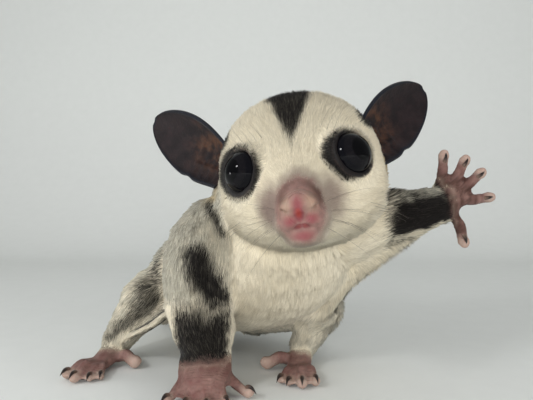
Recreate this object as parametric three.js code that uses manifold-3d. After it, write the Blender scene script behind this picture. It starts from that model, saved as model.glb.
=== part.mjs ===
// A young sugar glider, life size: it sits on its haunches, leans on its right hand and reaches out
// sideways with its left. Millimetres, +Z up, the face looks along -Y and the animal's left is +X.
// The solids give the outline at the tips of its short coat. Every sub-part is one closed solid, and
// sub-parts that touch keep a gap between them. The origin is under the middle of the whole animal.
import * as THREE from "three";
import { mergeVertices } from "three/addons/utils/BufferGeometryUtils.js";
import Module from "manifold-3d";

const wasm = await Module();
wasm.setup();

// Driving dimensions
const GAP = 0.3; // between sub-parts that touch
const HEAD_LENGTH = 38; // nose tip to nape
const HEAD_WIDTH = 37.4; // over the cheek fur
const HEAD_HEIGHT = 34.4; // throat to crown
const HEAD_ROLL = 9; // degrees, its left side up
const HEAD_YAW = -7; // degrees, nose to its left
const HEAD_PITCH = 2; // degrees, nose down
const EYE_RADIUS = 4.8;
const EYE_PROUD = 2.7; // how far the eyeball stands out of the face
const EAR_LENGTH = 24.8;
const EAR_WIDTH = 14.4;
const EAR_THICK = 0.8;
const TORSO_LENGTH = 62; // neck base to tail base, along the back
const TAIL_LENGTH = 96;
const TAIL_RADIUS = 6.2; // at the fluffiest
const TAIL_PARTS = 4;
const HAND_LENGTH = 12.6;
const FOOT_LENGTH = 16.5;
const DIGIT_RADIUS = 1.3;
const CLAW_LENGTH = 2;
const MEMBRANE_THICK = 1.6; // skin fold with its fur

const COLOURS = {
  coat: 0x8f8d84,
  cream: 0xd9cdb0,
  band: 0x2e2a29,
  ear: 0x2b2224,
  skin: 0xc98a84,
  eye: 0x08080a,
};

// Small helpers
const v3 = (x, y, z) => new THREE.Vector3(x, y, z);
const rad = THREE.MathUtils.degToRad;
const lerp = THREE.MathUtils.lerp;

// The value at t in [0, 1] of a smooth curve through evenly spaced numbers.
function smooth(values, t) {
  const last = values.length - 1;
  const place = Math.min(Math.max(t, 0), 1) * last;
  const i = Math.min(Math.floor(place), last - 1);
  const f = place - i;
  const at = (k) => values[Math.min(Math.max(k, 0), last)];
  const [a, b, c, d] = [at(i - 1), at(i), at(i + 1), at(i + 2)];
  const bend = 2 * a - 5 * b + 4 * c - d + f * (3 * (b - c) + d - a);
  return b + 0.5 * f * (c - a + f * bend);
}

const smoothPoint = (points, t) => v3(...["x", "y", "z"].map((k) => smooth(points.map((p) => p[k]), t)));

// A closed mesh as a manifold solid, turned so that its faces point out.
function solidOf(geometry) {
  const bare = geometry.clone();
  bare.deleteAttribute("normal");
  bare.deleteAttribute("uv");
  const merged = mergeVertices(bare, 1e-4);
  const vertProperties = new Float32Array(merged.attributes.position.array);
  const triVerts = new Uint32Array(merged.index.array);
  const made = new wasm.Manifold(new wasm.Mesh({ numProp: 3, vertProperties, triVerts }));
  if (made.volume() > 0) return made;
  triVerts.reverse();
  return new wasm.Manifold(new wasm.Mesh({ numProp: 3, vertProperties, triVerts }));
}

function geometryOf(solid) {
  const mesh = solid.getMesh();
  const position = new Float32Array(mesh.numVert * 3);
  for (let i = 0; i < mesh.numVert; i++) {
    position.set(mesh.vertProperties.subarray(i * mesh.numProp, i * mesh.numProp + 3), i * 3);
  }
  const geometry = new THREE.BufferGeometry();
  geometry.setAttribute("position", new THREE.BufferAttribute(position, 3));
  geometry.setIndex(new THREE.BufferAttribute(mesh.triVerts, 1));
  geometry.computeVertexNormals();
  return geometry;
}

const join = (...solids) => solids.reduce((a, b) => a.add(b));
const cutBy = (solid, ...cutters) => cutters.reduce((a, b) => a.subtract(b), solid);

// The largest closed body of a solid, which drops loose scraps and sealed hollows.
function largest(solid) {
  const bodies = solid.decompose();
  return bodies.reduce((a, b) => (b.volume() > a.volume() ? b : a));
}

// A skin over rings of points, closed at each end by a fan.
function skinOver(rings) {
  const sides = rings[0].length;
  const centre = (ring) => ring.reduce((sum, p) => sum.add(p), v3(0, 0, 0)).divideScalar(ring.length);
  const points = [centre(rings[0]), ...rings.flat(), centre(rings.at(-1))];
  const index = [];
  const at = (r, s) => 1 + r * sides + (s % sides);
  for (let s = 0; s < sides; s++) {
    index.push(0, at(0, s + 1), at(0, s));
    for (let r = 0; r + 1 < rings.length; r++) {
      index.push(at(r, s), at(r, s + 1), at(r + 1, s + 1), at(r, s), at(r + 1, s + 1), at(r + 1, s));
    }
    index.push(points.length - 1, at(rings.length - 1, s), at(rings.length - 1, s + 1));
  }
  return new THREE.BufferGeometry().setFromPoints(points).setIndex(index);
}

// A sheet of the given thickness on a grid of points, with the same diagonals on both faces.
function sheetOver(place, thick, across, along) {
  const points = [];
  for (const face of [0, 1]) {
    for (let j = 0; j <= along; j++) {
      for (let i = 0; i <= across; i++) points.push(place(i / across, j / along, face * thick));
    }
  }
  const row = across + 1;
  const back = row * (along + 1);
  const index = [];
  const quad = (a, b, c, d) => index.push(a, b, c, a, c, d);
  for (let j = 0; j < along; j++) {
    for (let i = 0; i < across; i++) {
      const a = j * row + i;
      const [b, c, d] = [a + 1, a + 1 + row, a + row];
      index.push(a, c, b, a, d, c);
      index.push(back + a, back + b, back + c, back + a, back + c, back + d);
    }
  }
  for (let i = 0; i < across; i++) {
    const top = along * row + i;
    quad(i, i + 1, back + i + 1, back + i);
    quad(top + 1, top, back + top, back + top + 1);
  }
  for (let j = 0; j < along; j++) {
    const left = j * row;
    const right = left + across;
    quad(left + row, left, back + left, back + left + row);
    quad(right, right + row, back + right + row, back + right);
  }
  return new THREE.BufferGeometry().setFromPoints(points).setIndex(index);
}

const UP = v3(0, 0, 1);
const FRONT = v3(0, -1, 0);

// A round-ended tapering limb through some points. `wide` and `tall` stretch its section, `up` says
// which way is tall, and `grow` swells it all round.
function limb({ points, radii, up = UP, wide = 1, tall = 1, sides, steps, caps = [25, 55], grow = 0 }) {
  const rings = [];
  const ringAt = (t, share, push) => {
    const ahead = smoothPoint(points, Math.min(t + 0.01, 1));
    const along = ahead.sub(smoothPoint(points, Math.max(t - 0.01, 0))).normalize();
    const side = v3(0, 0, 0).crossVectors(along, up).normalize();
    const top = v3(0, 0, 0).crossVectors(side, along);
    const radius = smooth(radii, t) + grow;
    const centre = smoothPoint(points, t).addScaledVector(along, push * radius);
    rings.push(
      Array.from({ length: sides }, (_, k) => {
        const a = (2 * Math.PI * k) / sides;
        return centre
          .clone()
          .addScaledVector(side, Math.cos(a) * radius * wide * share)
          .addScaledVector(top, Math.sin(a) * radius * tall * share);
      }),
    );
  };
  for (const a of caps) ringAt(0, Math.sin(rad(a)), -Math.cos(rad(a)));
  for (let i = 0; i <= steps; i++) ringAt(i / steps, 1, 0);
  for (const a of caps.toReversed()) ringAt(1, Math.sin(rad(a)), Math.cos(rad(a)));
  return solidOf(skinOver(rings));
}

// A body through stations that each give a centre, a side and an up direction, a half width and the
// heights above and below the centre. `full` and `crown` under 1 square its lower and upper half.
function bodyThrough(stations, { sides, steps, full = 1, crown = 1, grow = 0 }) {
  const rings = [];
  const value = (key, t) => smooth(stations.map((s) => s[key]), t);
  const vector = (key, t) => smoothPoint(stations.map((s) => s[key]), t);
  for (let i = 0; i <= steps; i++) {
    const t = i / steps;
    const centre = vector("at", t);
    const side = vector("side", t).normalize();
    const up = vector("up", t).normalize();
    const ring = Array.from({ length: sides }, (_, k) => {
      const a = (2 * Math.PI * k) / sides;
      const upper = Math.sin(a) > 0;
      const height = value(upper ? "top" : "bottom", t);
      const shape = (share) => Math.sign(share) * Math.pow(Math.abs(share), upper ? crown : full);
      return centre
        .clone()
        .addScaledVector(side, shape(Math.cos(a)) * (value("wide", t) + grow))
        .addScaledVector(up, shape(Math.sin(a)) * (height + grow));
    });
    rings.push(ring);
  }
  return solidOf(skinOver(rings));
}

function ball(centre, radii, turn = null, [around, down] = [18, 12]) {
  const geometry = new THREE.SphereGeometry(1, around, down);
  geometry.scale(radii.x, radii.y, radii.z);
  if (turn) geometry.applyQuaternion(turn);
  return solidOf(geometry.translate(centre.x, centre.y, centre.z));
}

function block(low, high) {
  const size = high.clone().sub(low);
  const geometry = new THREE.BoxGeometry(size.x, size.y, size.z);
  const centre = low.clone().add(high).multiplyScalar(0.5);
  return solidOf(geometry.translate(centre.x, centre.y, centre.z));
}

// A thin slab across a direction, which parts a body in two with a gap between.
function slab(centre, direction, reach = 60) {
  const geometry = new THREE.BoxGeometry(reach, reach, GAP);
  const turn = new THREE.Quaternion().setFromUnitVectors(v3(0, 0, 1), direction.clone().normalize());
  geometry.applyQuaternion(turn);
  return solidOf(geometry.translate(centre.x, centre.y, centre.z));
}

// A piece with its swollen twin, which clears the gap in whatever it touches.
const pieceOf = (make) => ({ body: make(0), clear: make(GAP) });

const FLOOR = block(v3(-300, -300, -100), v3(300, 300, 0));
const onFloor = (solid) => cutBy(solid, FLOOR);

// Head, in its own frame: the nose tip at the origin, the face along -Y, turned into place below
const HEAD_TURN = new THREE.Matrix4().makeRotationFromEuler(
  new THREE.Euler(rad(HEAD_PITCH), -rad(HEAD_ROLL), rad(HEAD_YAW), "ZYX"),
);
const NOSE_TIP = v3(5.8, -19, 40.9);
const HEAD_PLACE = new THREE.Matrix4().makeTranslation(NOSE_TIP).multiply(HEAD_TURN);
const placed = (solid) => solid.transform(HEAD_PLACE.elements);

// From nose to nape, in shares of the head's length, half width and height: how far back, how wide,
// and the levels of the widest line, the top and the underside above the nose tip.
const HEAD_PROFILE = [
  [0.012, 0.096, -0.02, 0.03, -0.07],
  [0.05, 0.22, -0.035, 0.095, -0.16],
  [0.12, 0.3, -0.04, 0.15, -0.205],
  [0.2, 0.395, -0.03, 0.2, -0.235],
  [0.28, 0.53, -0.01, 0.275, -0.255],
  [0.36, 0.7, 0.03, 0.385, -0.27],
  [0.45, 0.845, 0.09, 0.52, -0.285],
  [0.55, 0.965, 0.14, 0.645, -0.295],
  [0.65, 1.0, 0.175, 0.715, -0.295],
  [0.75, 0.96, 0.19, 0.715, -0.27],
  [0.85, 0.82, 0.2, 0.64, -0.21],
  [0.94, 0.55, 0.2, 0.49, -0.09],
  [0.99, 0.2, 0.2, 0.3, 0.1],
];
const HEAD_STATIONS = HEAD_PROFILE.map(([back, wide, middle, top, under]) => ({
  at: v3(0, back * HEAD_LENGTH, middle * HEAD_HEIGHT),
  side: v3(1, 0, 0),
  up: v3(0, 0, 1),
  wide: (wide * HEAD_WIDTH) / 2,
  top: (top - middle) * HEAD_HEIGHT,
  bottom: (middle - under) * HEAD_HEIGHT,
}));

// A point on the head: t from nose to nape, and the angle up from its left side.
function onHead(t, degrees) {
  const value = (key) => smooth(HEAD_STATIONS.map((s) => s[key]), t);
  const a = rad(degrees);
  const height = Math.sin(a) > 0 ? value("top") : value("bottom");
  const centre = smoothPoint(HEAD_STATIONS.map((s) => s.at), t);
  return centre.add(v3(Math.cos(a) * value("wide"), 0, Math.sin(a) * height));
}

const skull = pieceOf((grow) =>
  bodyThrough(HEAD_STATIONS, { sides: 27, steps: 18, full: 0.86, crown: 0.94, grow }),
);

// Eyes: each ball sits behind the face's surface and looks forward, outward and a little up
const EYE_STATION = 0.45;
const EYE_ANGLE = 31;
const eyes = [-1, 1].map((sign) => {
  const surface = onHead(EYE_STATION, EYE_ANGLE);
  const gaze = v3(0.64 * sign, -0.73, 0.22).normalize();
  surface.x *= sign;
  const centre = surface.clone().addScaledVector(gaze, EYE_PROUD - EYE_RADIUS);
  const sphere = (grow) => ball(centre, v3(1, 1, 1).multiplyScalar(EYE_RADIUS + grow), null, [18, 10]);
  return { sign, gaze, centre, ...pieceOf(sphere) };
});

// The swelling round each eye that carries the lids
function orbit(eye) {
  const turn = new THREE.Quaternion().setFromUnitVectors(v3(0, 0, 1), eye.gaze);
  const radii = v3(1.38, 1.38, 0.44).multiplyScalar(EYE_RADIUS);
  return ball(eye.centre.clone().addScaledVector(eye.gaze, 0.06 * EYE_RADIUS), radii, turn, [18, 10]);
}

// Lids: an almond rim round each ball, long from the inner top to the outer bottom
function lids(eye) {
  const opening = EYE_RADIUS * 0.93;
  const depth = EYE_RADIUS * 0.36;
  const tube = 0.8;
  const rim = new THREE.TorusGeometry(opening + tube, tube, 6, 22);
  rim.scale(0.98, 1.04, 1);
  rim.rotateZ(-eye.sign * rad(-24));
  rim.applyQuaternion(new THREE.Quaternion().setFromUnitVectors(v3(0, 0, 1), eye.gaze));
  const centre = eye.centre.clone().addScaledVector(eye.gaze, depth);
  return solidOf(rim.translate(centre.x, centre.y, centre.z));
}

// Muzzle: whisker pads that make the upper lip, a nose pad with two side lobes, and a chin
const MUZZLE = HEAD_WIDTH * 0.48;
const PAD_SIZE = v3(0.18, 0.27, 0.17).multiplyScalar(MUZZLE);
const whiskerPads = [-1, 1].map((sign) =>
  ball(v3(sign * 0.15, 0.24, -0.16).multiplyScalar(MUZZLE), PAD_SIZE, null, [11, 7]),
);
const nosePad = pieceOf((grow) =>
  join(
    ball(v3(0, 0.02 * MUZZLE, 0.035 * MUZZLE), v3(3.1 + grow, 2.5 + grow, 2.5 + grow), null, [14, 9]),
    ...[-1, 1].map((sign) =>
      ball(v3(sign * 2.15, 0.5, 0.25), v3(1.75 + grow, 1.9 + grow, 1.85 + grow), null, [12, 8]),
    ),
  ),
);
const nostrils = [-1, 1].map((sign) =>
  limb({
    points: [v3(sign * 1.3, -1.9, -0.7), v3(sign * 2.5, -1.5, -0.75), v3(sign * 3.6, -0.5, -0.2)],
    radii: [0.3, 0.62, 0.3],
    sides: 8,
    steps: 4,
  }),
);
const philtrum = limb({
  points: [v3(0, -2.4, 1.2), v3(0, -2, -0.6), v3(0, -0.6, -1.9), v3(0, -0.1, -3.6)],
  radii: [0.3, 0.45, 0.45, 0.4],
  up: v3(1, 0, 0),
  sides: 8,
  steps: 5,
});

// The mouth is a gap under a gable, high in the middle and low at the sides, back to the corners
const MOUTH_APEX = -0.215 * MUZZLE;
const MOUTH_DROP = 0.75;
const MOUTH_CORNER = 0.66 * MUZZLE;
function underMouth(grow) {
  const outline = new THREE.Shape();
  const reach = 14;
  outline.moveTo(-reach, -16);
  outline.lineTo(-reach, MOUTH_APEX - MOUTH_DROP * reach + grow);
  outline.quadraticCurveTo(-2.4, MOUTH_APEX - 1 + grow, 0, MOUTH_APEX + grow);
  outline.quadraticCurveTo(2.4, MOUTH_APEX - 1 + grow, reach, MOUTH_APEX - MOUTH_DROP * reach + grow);
  outline.lineTo(reach, -16);
  const geometry = new THREE.ExtrudeGeometry(outline, {
    depth: MOUTH_CORNER + 6 + grow,
    bevelEnabled: false,
    curveSegments: 8,
  });
  geometry.rotateX(Math.PI / 2);
  return solidOf(geometry.translate(0, MOUTH_CORNER + grow, 0));
}
const jawForm = join(
  skull.body,
  ball(v3(0, 0.3 * MUZZLE, -0.33 * MUZZLE), v3(0.26, 0.3, 0.13).multiplyScalar(MUZZLE)),
);
const jaw = jawForm.intersect(underMouth(0));

// Ears: a cupped leaf, wide and rolled at the root, with a shallow notch low on its outer edge
function earLeaf({ sign, station, angle, sink, lean, raise, turn }) {
  const length = EAR_LENGTH;
  const root = onHead(station, angle);
  root.x *= sign;
  const place = (u, v, back) => {
    const widen = v < 0.45 ? lerp(0.66, 1, Math.sin((v / 0.45) * (Math.PI / 2))) : 0;
    const narrow = v < 0.45 ? 0 : Math.pow(Math.cos(((v - 0.45) / 0.56) * (Math.PI / 2)), 0.55);
    const notch = 1 - 0.06 * Math.exp(-Math.pow((v - 0.36) / 0.07, 2)) * (u > 0.5 ? 1 : 0);
    const half = (EAR_WIDTH / 2) * Math.max(widen + narrow, 0.1) * notch;
    const cup = lerp(1.5, 0.42, Math.sqrt(v));
    const radius = half / Math.sin(Math.min(cup, Math.PI / 2));
    const a = (2 * u - 1) * cup;
    const shell = radius + back;
    const x = sign * Math.sin(a) * shell;
    const z = radius - Math.cos(a) * shell - 0.12 * length * v * v;
    return v3(x, v * length, z - radius * 0.35 * (1 - v));
  };
  const sheet = sheetOver(place, EAR_THICK, 9, 10);
  const frame = new THREE.Matrix4().makeRotationFromEuler(
    new THREE.Euler(-rad(lean), sign * rad(turn), -sign * rad(90 - raise), "ZYX"),
  );
  // The leaf grows along +Y with its hollow to +Z, and stands up with its hollow to the front
  const stand = new THREE.Matrix4().makeRotationX(Math.PI / 2);
  sheet.applyMatrix4(new THREE.Matrix4().multiplyMatrices(stand, frame));
  const sunk = v3(root.x * sink, root.y, root.z * sink);
  return solidOf(sheet.translate(sunk.x, sunk.y, sunk.z));
}
// The left ear leans further back than the right and is set nearer the crown. `sink` is how far out
// the root sits, as a share of the head's own surface.
const EARS = [
  { sign: -1, station: 0.7, angle: 16, sink: 0.94, lean: 14, raise: 33, turn: 18 },
  { sign: 1, station: 0.7, angle: 16, sink: 0.84, lean: 25, raise: 25, turn: 18 },
];
const ears = EARS.map((ear) => ({ sign: ear.sign, body: cutBy(earLeaf(ear), skull.clear) }));

const faceForm = join(skull.body, ...whiskerPads, ...eyes.map(orbit), ...eyes.map(lids));
const headBody = cutBy(
  faceForm,
  underMouth(GAP),
  nosePad.clear,
  philtrum,
  ...eyes.map((eye) => eye.clear),
);
const noseBody = cutBy(nosePad.body, ...nostrils, philtrum, underMouth(GAP));
const jawBody = cutBy(jaw, nosePad.clear);
const headClear = placed(join(skull.clear, ...eyes.map(lids)));

// Torso: from the neck base to the tail base. The chest faces the front, and the hips turn to the
// animal's right. Each station: centre, side, up, half width, height to the back and to the belly.
const TORSO = TORSO_LENGTH / 62;
const TORSO_STATIONS = [
  [[6, 6, 41], [1, 0.1, 0], [0, 0.75, 0.66], 8, 6, 8],
  [[5, 10, 37.5], [1, 0.12, 0], [0, 0.7, 0.72], 15, 10, 13],
  [[4, 14.5, 33], [1, 0.16, 0], [0, 0.6, 0.8], 19, 13, 17],
  [[1.5, 19.5, 29.5], [1, 0.28, 0], [-0.1, 0.5, 0.85], 20.5, 14.5, 18.5],
  [[-3.5, 25.5, 26], [0.92, 0.45, 0], [-0.2, 0.35, 0.9], 20.5, 15, 18.5],
  [[-9.5, 32, 23], [0.85, 0.55, 0], [-0.25, 0.3, 0.92], 20, 15.5, 17.5],
  [[-15.5, 38.5, 19.8], [0.8, 0.6, 0], [-0.3, 0.35, 0.88], 19, 15, 16.5],
  [[-21, 45, 15.8], [0.78, 0.63, 0], [-0.4, 0.42, 0.8], 16.5, 13, 14.5],
  [[-25.5, 50.5, 11.4], [0.77, 0.64, 0], [-0.5, 0.5, 0.7], 12, 9.5, 11],
  [[-28, 54, 8.6], [0.77, 0.64, 0], [-0.5, 0.5, 0.7], 5, 4.5, 5],
].map(([at, side, up, wide, top, bottom]) => ({
  at: v3(...at),
  side: v3(...side),
  up: v3(...up),
  wide: wide * TORSO,
  top: top * TORSO,
  bottom: bottom * TORSO,
}));
const torso = pieceOf((grow) => bodyThrough(TORSO_STATIONS, { sides: 24, steps: 16, grow }));
const torsoBody = onFloor(cutBy(torso.body, headClear));

// The torso parts into chest, belly and rump where a person would name them
const CHEST_END = { at: v3(-4, 26, 26), along: v3(-0.68, 0.62, -0.38) };
const BELLY_END = { at: v3(-16, 39, 19.5), along: v3(-0.66, 0.62, -0.42) };
function sliceBetween(solid, ...ends) {
  const parted = cutBy(solid, ...ends.map((end) => slab(end.at, end.along, 120)));
  return parted.decompose().filter((body) => body.volume() > 20);
}
function middleOf(solid) {
  const { min, max } = solid.boundingBox();
  return v3(...min).add(v3(...max)).multiplyScalar(0.5);
}
const [chestBody, bellyBody, rumpBody] = sliceBetween(torsoBody, CHEST_END, BELLY_END).sort(
  (a, b) => middleOf(a).y - middleOf(b).y,
);

// Neck: joins the nape to the shoulders, and fills the throat under the cheeks
const neckForm = (grow) =>
  limb({
    points: [v3(5.6, 3, 50), v3(4, 9, 45), v3(0.5, 16, 40), v3(-3, 22, 36)],
    radii: [12, 13.5, 13.5, 11],
    wide: 1.08,
    up: v3(0, 0.7, 0.7),
    sides: 18,
    steps: 6,
    grow,
  });
const neck = pieceOf(neckForm);
const neckBody = cutBy(neck.body, headClear, torso.clear);

// Arms: shoulder, elbow and wrist points, each stretch a limb that its parent's gap trims
const RIGHT_ARM = {
  upper: {
    points: [v3(-10, 14, 35), v3(-14, 10.5, 31), v3(-15.6, 8, 25), v3(-15.6, 6.5, 20)],
    radii: [9.5, 9.4, 8.6, 7.7],
  },
  fore: {
    points: [v3(-15.6, 6.5, 20.5), v3(-14.8, 4.8, 16.6), v3(-13.8, 3.4, 12.6)],
    radii: [7.3, 6.9, 6.4],
  },
};
const LEFT_ARM = {
  upper: {
    points: [v3(13, 14.5, 33), v3(21, 13, 35), v3(28.5, 11, 37.8)],
    radii: [9.5, 7.8, 5.6],
  },
  fore: {
    points: [v3(28, 11.2, 37.2), v3(33, 9.4, 38.6), v3(37, 7.8, 40)],
    radii: [5.5, 5.4, 5],
  },
};
const armPiece = (shape, extra = {}) =>
  pieceOf((grow) => limb({ ...shape, sides: 13, steps: 6, grow, ...extra }));

// Legs: the right one spread to the side, the left one tucked under the belly
const RIGHT_LEG = {
  thigh: {
    points: [v3(-19, 41, 15), v3(-25.5, 34, 17), v3(-31.5, 26, 15.5)],
    radii: [11.5, 10, 7],
  },
  shank: {
    points: [v3(-31.5, 26.5, 15.5), v3(-36, 25.5, 10), v3(-39.5, 23.6, 4.8)],
    radii: [6.7, 5.3, 3.8],
  },
};
const LEFT_LEG = {
  thigh: {
    points: [v3(-4, 42, 14), v3(5, 34, 15), v3(13, 25, 13.5)],
    radii: [12, 10.4, 7.4],
  },
  shank: {
    points: [v3(13, 25.5, 13.5), v3(11.8, 24, 9), v3(9.6, 21, 4.8)],
    radii: [6.9, 5.3, 3.8],
  },
};

// A hand or foot in its own frame: the wrist at the origin, the digits along +Y, its back to +Z, and
// the ground at -height. Each digit: its root across and along the sole, the angle and length, a
// thickness share, and whether it ends in a claw. A drawn-back claw lies on its digit's back.
function paw({ length, width, height, digits, drawnBack = 0, grow = 0 }) {
  const sole = limb({
    points: [
      v3(0, -0.06 * length, 0),
      v3(0, 0.2 * length, -0.42 * height),
      v3(0, 0.42 * length, -0.55 * height),
    ],
    radii: [width * 0.42, width * 0.47, width * 0.44],
    tall: 0.62,
    sides: 9,
    steps: 3,
    grow,
  });
  const fingers = digits.map(({ root, angle, reach, thick, claw }) => {
    const radius = DIGIT_RADIUS * thick;
    const out = v3(Math.sin(rad(angle)), Math.cos(rad(angle)), 0);
    const base = v3(root[0], root[1], -0.5 * height);
    const ground = radius * 0.9 - height;
    const knee = base.clone().addScaledVector(out, 0.45 * reach).setZ(ground + 0.16 * reach);
    const pad = base.clone().addScaledVector(out, 0.86 * reach).setZ(ground);
    const tip = base.clone().addScaledVector(out, reach).setZ(ground + 0.1 * radius);
    const finger = limb({
      points: [base, knee, pad, tip],
      radii: [radius * 1.05, radius * 0.95, radius * 1.12, radius * 0.9],
      sides: 6,
      steps: 4,
      caps: [42],
      grow,
    });
    if (!claw) return finger;
    const bed = tip.clone().addScaledVector(out, -0.5 * radius - drawnBack);
    bed.setZ(tip.z + radius * 0.66);
    const hook = limb({
      points: [
        bed,
        bed.clone().addScaledVector(out, 0.55 * CLAW_LENGTH).add(v3(0, 0, 0.3 + 0.3 * drawnBack)),
        bed.clone().addScaledVector(out, 0.98 * CLAW_LENGTH).add(v3(0, 0, 0.5 * drawnBack - 0.55)),
      ],
      radii: [0.55, 0.46, 0.16],
      sides: 5,
      steps: 1,
      caps: [40],
      grow,
    });
    return finger.add(hook);
  });
  return join(sole, ...fingers);
}

const handDigits = (side, spread, palm) =>
  [
    [0.3, 0.2, 0.62, 1.04],
    [0.2, 0.44, 0.66, 1],
    [0.03, 0.5, 0.7, 1],
    [-0.15, 0.47, 0.68, 1],
    [-0.33, 0.34, 0.64, 0.98],
  ].map(([across, along, reach, thick], i) => ({
    root: [side * across * HAND_LENGTH * palm, along * HAND_LENGTH * 0.72],
    angle: side * spread[i],
    reach: reach * HAND_LENGTH,
    thick,
    claw: true,
  }));
// The hind foot's first toe is a clawless thumb, and the next two are thin and lie close together
const footDigits = (side, spread) =>
  [
    [0.34, 0.12, 0.4, 1.35, false],
    [0.2, 0.46, 0.42, 0.85, true],
    [0.06, 0.5, 0.45, 0.85, true],
    [-0.12, 0.5, 0.52, 1.1, true],
    [-0.28, 0.44, 0.48, 1.05, true],
  ].map(([across, along, reach, thick, claw], i) => ({
    root: [side * across * FOOT_LENGTH * 0.42, along * FOOT_LENGTH],
    angle: side * spread[i],
    reach: reach * FOOT_LENGTH,
    thick,
    claw,
  }));

function pawAt({ wrist, forward, back, ...shape }) {
  const y = forward.clone().normalize();
  const x = v3(0, 0, 0).crossVectors(y, back).normalize();
  const z = v3(0, 0, 0).crossVectors(x, y);
  const matrix = new THREE.Matrix4().makeBasis(x, y, z).setPosition(wrist);
  return pieceOf((grow) => paw({ ...shape, grow }).transform(matrix.elements));
}
const HAND = { length: HAND_LENGTH, width: HAND_LENGTH * 0.7 };
const FOOT = { length: FOOT_LENGTH, width: FOOT_LENGTH * 0.42 };
const TOES = [64, 18, 8, -6, -20]; // degrees off the foot's line
// A paw's own +X is to the animal's right, so a right paw's first digit is on the other side
const PAWS = {
  hand_right: {
    ...HAND,
    width: HAND_LENGTH * 1.06,
    wrist: v3(-13.4, 3.2, 9.6),
    height: 9.6,
    forward: v3(0.05, -1, 0),
    back: UP,
    digits: handDigits(-1, [50, 17, 3, -11, -27], 0.93),
  },
  hand_left: {
    ...HAND,
    wrist: v3(39.9, 6.2, 40.4),
    height: 3.4,
    forward: v3(0.74, 0.05, 0.67),
    back: FRONT,
    drawnBack: 1.2,
    digits: handDigits(1, [111, 34, 5, -15, -36], 0.8),
  },
  foot_right: {
    ...FOOT,
    wrist: v3(-40, 22, 4),
    height: 4,
    forward: v3(-0.14, -1, 0),
    back: UP,
    digits: footDigits(-1, TOES),
  },
  foot_left: {
    ...FOOT,
    wrist: v3(8.8, 18.8, 4.1),
    height: 4.1,
    forward: v3(-0.16, -1, 0),
    back: UP,
    digits: footDigits(1, TOES),
  },
};
const paws = Object.fromEntries(Object.entries(PAWS).map(([name, shape]) => [name, pawAt(shape)]));

const armRight = {
  upper: armPiece(RIGHT_ARM.upper, { up: FRONT }),
  fore: armPiece(RIGHT_ARM.fore, { up: FRONT, wide: 1.12 }),
};
const armLeft = { upper: armPiece(LEFT_ARM.upper), fore: armPiece(LEFT_ARM.fore) };
const legRight = { thigh: armPiece(RIGHT_LEG.thigh), shank: armPiece(RIGHT_LEG.shank) };
const legLeft = { thigh: armPiece(LEFT_LEG.thigh), shank: armPiece(LEFT_LEG.shank) };

const trunk = [headClear, neck.clear, torso.clear];
const limbs = {
  upper_arm_right: cutBy(armRight.upper.body, ...trunk),
  forearm_right: cutBy(armRight.fore.body, ...trunk, armRight.upper.clear),
  hand_right: cutBy(paws.hand_right.body, armRight.fore.clear),
  upper_arm_left: cutBy(armLeft.upper.body, ...trunk),
  forearm_left: cutBy(armLeft.fore.body, ...trunk, armLeft.upper.clear),
  hand_left: cutBy(paws.hand_left.body, armLeft.fore.clear),
  thigh_right: cutBy(legRight.thigh.body, ...trunk),
  shank_right: cutBy(legRight.shank.body, ...trunk, legRight.thigh.clear),
  foot_right: cutBy(paws.foot_right.body, legRight.shank.clear, ...trunk),
  thigh_left: cutBy(legLeft.thigh.body, ...trunk),
  shank_left: cutBy(legLeft.shank.body, ...trunk, legLeft.thigh.clear),
  foot_left: cutBy(paws.foot_left.body, legLeft.shank.clear, ...trunk),
};

// Gliding membranes: a fold of skin from the arm to the leg on each side. `rim` is the free edge,
// `root` the line inside the body that it grows from, and `bow` how far the fold bellies out.
function membrane({ rim, root, bow, ripple }) {
  const place = (u, v, back) => {
    const edge = smoothPoint(rim, v);
    const inner = smoothPoint(root, v);
    const across = edge.clone().sub(inner);
    const along = smoothPoint(rim, Math.min(v + 0.02, 1)).sub(smoothPoint(rim, Math.max(v - 0.02, 0)));
    const normal = v3(0, 0, 0).crossVectors(across, along).normalize();
    const belly = Math.sin(Math.PI * u) * bow + ripple * Math.sin(u * 5) * Math.sin(Math.PI * 3 * v);
    return inner.addScaledVector(across, u).addScaledVector(normal, belly + back * lerp(1.35, 1, u));
  };
  return solidOf(sheetOver(place, MEMBRANE_THICK, 8, 14));
}
const membraneRight = membrane({
  rim: [v3(-18, 4, 19), v3(-24, 8, 15.5), v3(-30, 13, 11.5), v3(-35, 18, 8), v3(-39, 22, 5.5)],
  root: [v3(-16, 9, 27), v3(-17, 16, 26), v3(-19, 24, 22), v3(-26, 30, 18), v3(-32, 27, 13)],
  bow: 1.2,
  ripple: 0.35,
});
const membraneLeft = membrane({
  rim: [v3(41, 6.5, 37), v3(34, 9, 32.4), v3(27, 11, 27), v3(20.5, 14, 20.6), v3(15.5, 18, 12)],
  root: [v3(33, 11, 38), v3(22, 15, 34), v3(12, 20, 27), v3(8, 23, 20), v3(8, 25, 13)],
  bow: -1,
  ripple: 0.35,
});
const bodyClear = [...trunk, ...[armRight, armLeft].flatMap((arm) => [arm.upper.clear, arm.fore.clear])];
const legClear = [legRight, legLeft].flatMap((leg) => [leg.thigh.clear, leg.shank.clear]);
const pawClear = Object.values(paws).map((piece) => piece.clear);
const trimMembrane = (sheet) => cutBy(sheet, ...bodyClear, ...legClear, ...pawClear);

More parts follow.
